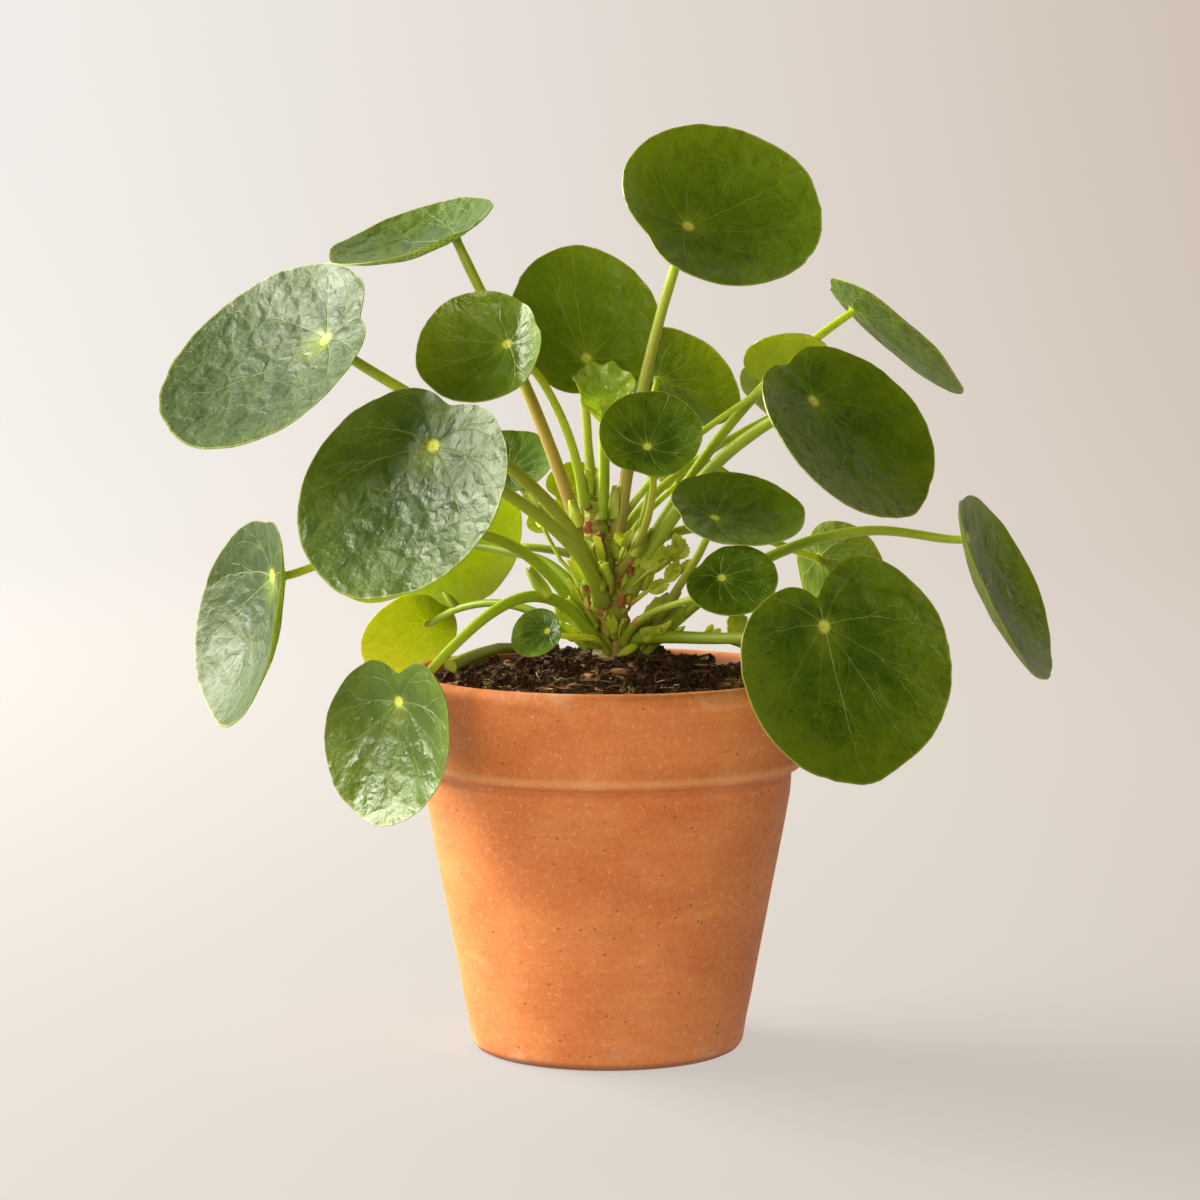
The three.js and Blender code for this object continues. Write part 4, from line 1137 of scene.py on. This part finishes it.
def seated(azimuth, side, height, roll, lean, size, wide=1.0, sink=0.5):
    """A seat on the plant, found by looking in at a bearing, off to a side and at a height."""
    out = bearing(azimuth, 0)
    start = out * 60 + bearing(azimuth + 90, 0) * side + Vector((0, 0, height))
    hit = plant_skin.ray_cast(start * MM, -out)[0]
    if hit is None:
        hit = (start - out * 60) * MM
    return seat_at(hit - out * sink * MM, azimuth, roll, lean, size, wide)


def in_axil(leaf, share, turn, size, wide, lean):
    """A seat on the upper side of a stalk near its foot, growing the way the stalk grows."""
    route = stalk_route(leaf, 61)
    k = round(share * 60)
    along = (route[k + 3] - route[k]).normalized()
    up = (Vector((0, 0, 1)) - along * along.z).normalized()
    up = Matrix.Rotation(math.radians(turn), 3, along) @ up
    upright = Matrix((along.cross(up), -up, along)).transposed().to_4x4()
    place = Matrix.Translation((route[k] + up * leaf.foot * 0.42) * MM)
    grown = Matrix.Diagonal((size * wide * MM, size * MM, size * MM, 1))
    return place @ upright @ Matrix.Rotation(math.radians(lean), 4, "X") @ grown


def cupped_scale(x, y, z):
    t = y + 0.5
    wide = 0.62 * math.sin(math.pi * (0.28 + 0.64 * t)) ** 0.7
    ragged = noise.noise_vector(Vector((x * 5, t * 4, 2)))
    out = -0.3 * math.cos(x * 2.6) + 0.2 * t * t + 0.10 * t * ragged.y
    return x * wide + 0.07 * t * ragged.x, out, 1.2 * t + 0.12 * t * ragged.z


# a scale, cupped and blunt, made once; brown and papery, or green where it is fresh
deselect()
bpy.ops.mesh.primitive_grid_add(x_subdivisions=9, y_subdivisions=7, size=1)
scale_leaf = bpy.context.object
reshape(scale_leaf, cupped_scale)
thicken(scale_leaf, 0.05)

# each seat: bearing, off to a side in mm, height in mm, roll, lean, size in mm and width
brown_seats = [
    (0, -6.2, 184, -30, 6, 5.0, 1.0), (0, -6.0, 176, -14, 18, 3.6, 1.6),
    (0, -3.4, 173, 22, 34, 3.6, 1.7), (0, -1.6, 168, -6, 14, 4.6, 1.1),
    (0, 3.2, 159.5, 20, 18, 3.2, 1.5), (0, 8.3, 161.5, -16, 12, 3.8, 1.0),
    (0, 4.6, 150.6, 2, 16, 4.0, 1.2), (0, -3.0, 143.8, -26, 40, 3.4, 1.8),
    (0, -2.0, 148, 10, 12, 3.8, 1.2), (0, -9, 153, -34, 22, 3.4, 1.4),
    (0, 9, 146, 30, 26, 3.2, 1.4), (0, 1.5, 156, -40, 20, 3.4, 1.0),
    (0, 6.8, 166, 30, 24, 2.8, 1.4), (0, -5.6, 157, -50, 24, 3.0, 1.2),
    (0, 2.4, 163, 50, 20, 3.0, 1.0), (90, 2, 160, 0, 24, 4.4, 1.5),
    (90, -4, 150, 12, 28, 4.4, 1.6), (140, 3, 168, 0, 20, 4.4, 1.5),
    (-150, 0, 154, 0, 24, 4.6, 1.6), (175, -3, 146, -10, 30, 4.2, 1.6),
    (-110, 2, 172, 6, 20, 4.2, 1.4), (-85, 0, 149, -8, 28, 4.2, 1.6),
    (-60, 2, 162, 0, 20, 4.0, 1.4), (-120, -3, 140, 0, 38, 4.6, 1.7),
]
stipules = copies_of("brown_scales", scale_leaf, [seated(*seat) for seat in brown_seats])
keep_smooth(stipules, 60)

green_seats = [seated(*seat) for seat in (
    (0, 14.1, 163.5, 58, 24, 8.0, 0.9), (0, 12.0, 157.5, 18, 34, 9.0, 1.0),
    (0, -20, 157, -34, 12, 10.0, 0.8), (0, -14, 146, -24, 16, 7.5, 1.0),
    (0, 9.4, 169, 12, 14, 8.0, 0.9), (0, 3.6, 168, -12, 22, 6.4, 1.0),
    (0, 16, 149, 48, 22, 7.5, 0.9), (0, -1.6, 158, -30, 12, 6.0, 0.9),
    (0, -8, 162, -40, 24, 7.0, 1.0), (0, -4, 150, 20, 26, 6.0, 1.1),
    (0, 7, 152, 26, 28, 7.0, 1.0), (0, 2, 143, -8, 40, 6.0, 1.2),
    (0, -11, 140, -50, 30, 7.0, 1.1), (0, 13, 141, 52, 30, 6.5, 1.1),
)]
draw = random.Random(61)
for name, leaf in LEAVES.items():
    if name != "young":
        for turn in (draw.uniform(-55, -25), draw.uniform(25, 55)):
            size = leaf.foot * draw.uniform(1.5, 2.3)
            share, wide = draw.uniform(0.015, 0.05), draw.uniform(0.7, 1.0)
            green_seats.append(in_axil(leaf, share, turn, size, wide, draw.uniform(10, 24)))
sheaths = copies_of("green_sheaths", scale_leaf, green_seats)
keep_smooth(sheaths, 60)


def plump_bud(x, y, z):
    t = z + 0.5
    slim = 1 - 0.45 * t**2
    groove = 1 - 0.18 * math.exp(-((math.atan2(x, -y) / 0.35) ** 2)) * math.sin(math.pi * t)
    return 0.86 * x * slim * groove, 0.8 * y * slim * groove - 0.3 * t * t, 2.3 * t


# a plump pointed bud, grooved down one side, made once and set round the stem
deselect()
bpy.ops.mesh.primitive_uv_sphere_add(segments=20, ring_count=14, radius=0.5)
bud = bpy.context.object
reshape(bud, plump_bud)
bud_seats = [
    (0, -6.2, 151.2, -12, 10, 4.4, 1.15), (0, -7.4, 146.4, -24, 16, 3.0, 1.0),
    (0, 5.2, 153.4, 6, 10, 4.4, 0.9), (0, 10.4, 138.6, -118, 12, 3.6, 1.2),
    (0, 9.6, 143.4, 30, 20, 3.2, 1.1), (0, 5.4, 169.2, 10, 14, 3.0, 1.2),
    (0, -3.2, 137.4, -58, 20, 3.6, 1.0), (0, 1.0, 141.0, 20, 30, 3.4, 1.1),
    (0, 17.5, 143, 40, 20, 3.0, 1.0), (60, 2, 150, 20, 30, 3.8, 1.0),
    (100, 0, 144, -14, 34, 3.8, 1.0), (140, -2, 152, 10, 24, 3.6, 1.0),
    (-165, 2, 148, -10, 28, 3.8, 1.0), (170, 0, 160, 8, 20, 3.2, 1.0),
    (-120, 3, 146, 14, 34, 4.0, 1.0), (-80, -2, 143, -16, 34, 3.8, 1.0),
    (-45, 0, 141, -20, 30, 3.6, 1.0), (45, 3, 140, 26, 34, 3.8, 1.0),
]
buds = copies_of("buds", bud, [seated(*seat, 1.0) for seat in bud_seats])
keep_smooth(buds, 60)

# thin side shoots and a runner that lies over the soil, each with a few small leaves
shoot_routes = [
    [(8, -5, 158), (14, -7, 163.5), (19.5, -6, 166), (23.4, -5, 168)],
    [(8, -4, 152), (14, -7, 157), (20, -8, 160.5), (25, -7, 163)],
    [(5, -6, 166), (6.2, -8, 170), (5.8, -8.4, 173.6)],
    [(-9, 3, 158), (-16, 6, 166), (-21, 9, 175), (-24, 12, 182)],
]
runner_route = [(9, 3, 136), (16, 6, 138.4), (24, 8, 139.2), (32, 9, 139.6), (40, 10, 138.8),
                (46, 10.5, 136.4), (51, 11, 131)]
shoots = []
for k, route in enumerate(shoot_routes, 1):
    shoots.append(bent_tube(f"shoot_{k}", route, [0.9] + [0.7] * (len(route) - 2) + [0.45], 6))
runner = bent_tube("runner", runner_route, [1.5, 1.5, 1.4, 1.35, 1.4, 1.3, 1.1], 7)


def folded_leaf(x, y, z):
    share = math.hypot(x, y) * 2
    tooth = 1 + 0.05 * share**4 * math.cos(12 * math.atan2(y, x))
    fold = 0.42 * abs(x) + 0.10 * share**3 * noise.noise(Vector((x * 5, y * 5, 3)))
    return x * 1.05 * tooth, -fold + 0.25 * y * y, 1.3 * (y + 0.5) * tooth


leaf_rings = [(radius, 0) for radius in (0.004, 0.12, 0.22, 0.31, 0.38, 0.44, 0.48, 0.5)]
small_leaf = rings_drawn_out("small_leaf", 24, leaf_rings)
close_middle(small_leaf, 0.005)
reshape(small_leaf, folded_leaf)
thicken(small_leaf, 0.07)
small_seats = [
    ((14, -6.5, 163), -10, 5, -12, 9.0), ((23.4, -5, 167.6), 10, -50, 20, 5.0),
    ((23.4, -5, 167.6), 30, 40, 10, 4.4), ((22, -5.4, 166.6), -30, 80, 40, 4.6),
    ((19.5, -6, 165.6), 0, -20, 45, 4.2), ((23.6, -3, 167), 40, 4, -10, 6.5),
    ((25, -7, 162.6), 20, 20, 30, 4.6), ((25, -7, 162.6), -20, 100, 30, 4.4),
    ((20, -8, 160), 0, 30, 10, 6.2, 0.8), ((23, -7.4, 161.6), 0, -30, 50, 3.8),
    ((14, -7, 156.6), 10, 60, 20, 6.0, 0.8), ((12, -4, 143.6), 5, 58, -16, 13.0, 0.95),
    ((5.8, -8.4, 173), -20, -30, 30, 3.8), ((5.8, -8.4, 173), 20, 30, 20, 4.2),
    ((5.6, -8.6, 172), 0, 0, 50, 3.6), ((-24, 12, 181.5), -30, -20, 20, 6.0),
    ((-22, 10, 177), 160, 30, 30, 5.0), ((43, 10, 138), 12, 14, -20, 8.5, 0.85),
    ((33.6, 9, 140.2), 0, 34, 20, 3.4, 0.7), ((35.2, 9, 140), 0, 62, 10, 3.2, 0.7),
]
small_seats = [seat_at(Vector(place) * MM, *seat) for place, *seat in small_seats]
small_leaves = copies_of("small_leaves", small_leaf, small_seats)
keep_smooth(small_leaves, 60)
drop(scale_leaf, bud, small_leaf)

papery, tree, shader = new_material("papery_scale", {
    "Roughness": 0.6, "Subsurface Weight": 0.2, "Subsurface Radius": (1.0, 0.4, 0.2),
    "Subsurface Scale": 0.0006})
blotch = noise_value(object_place(tree), 160, 3)
lines = noise_value(object_place(tree, (3, 3, 0.4)), 500, 2)
colour = mixed(between(blotch, 0.35, 0.65), PAPER_BROWN, PAPER_ORANGE)
colour = mixed(between(lines, 0.55, 0.7, 0, 0.4), colour, PAPER_LINE)
finish_skin(shader, colour, lines, 0.4, 0.0005)
stipules.data.materials.append(papery)

shoot_skin, tree, shader = new_material("young_green", {
    "Roughness": 0.4, "Subsurface Weight": 0.5, "Subsurface Radius": (1.0, 0.95, 0.2),
    "Subsurface Scale": 0.002})
place = object_place(tree)
blotch = noise_value(place, 200, 3)
patch = noise_value(place, 45, 1)
colour = layered(
    mixed(between(blotch, 0.35, 0.65), SHOOT, SHOOT_PALE),
    (between(patch, 0.5, 0.7, 0, 0.6), SHOOT_DARK),
    (between(blotch, 0.68, 0.76, 0, 0.7), SHOOT_SCORCH),
)
finish_skin(shader, colour, blotch, 0.3, 0.0006)
for piece in (sheaths, buds, small_leaves, runner, *shoots):
    piece.data.materials.append(shoot_skin)
for piece in (stipules, sheaths, buds, small_leaves, runner, *shoots):
    fix_to_plant(piece, "trunk")
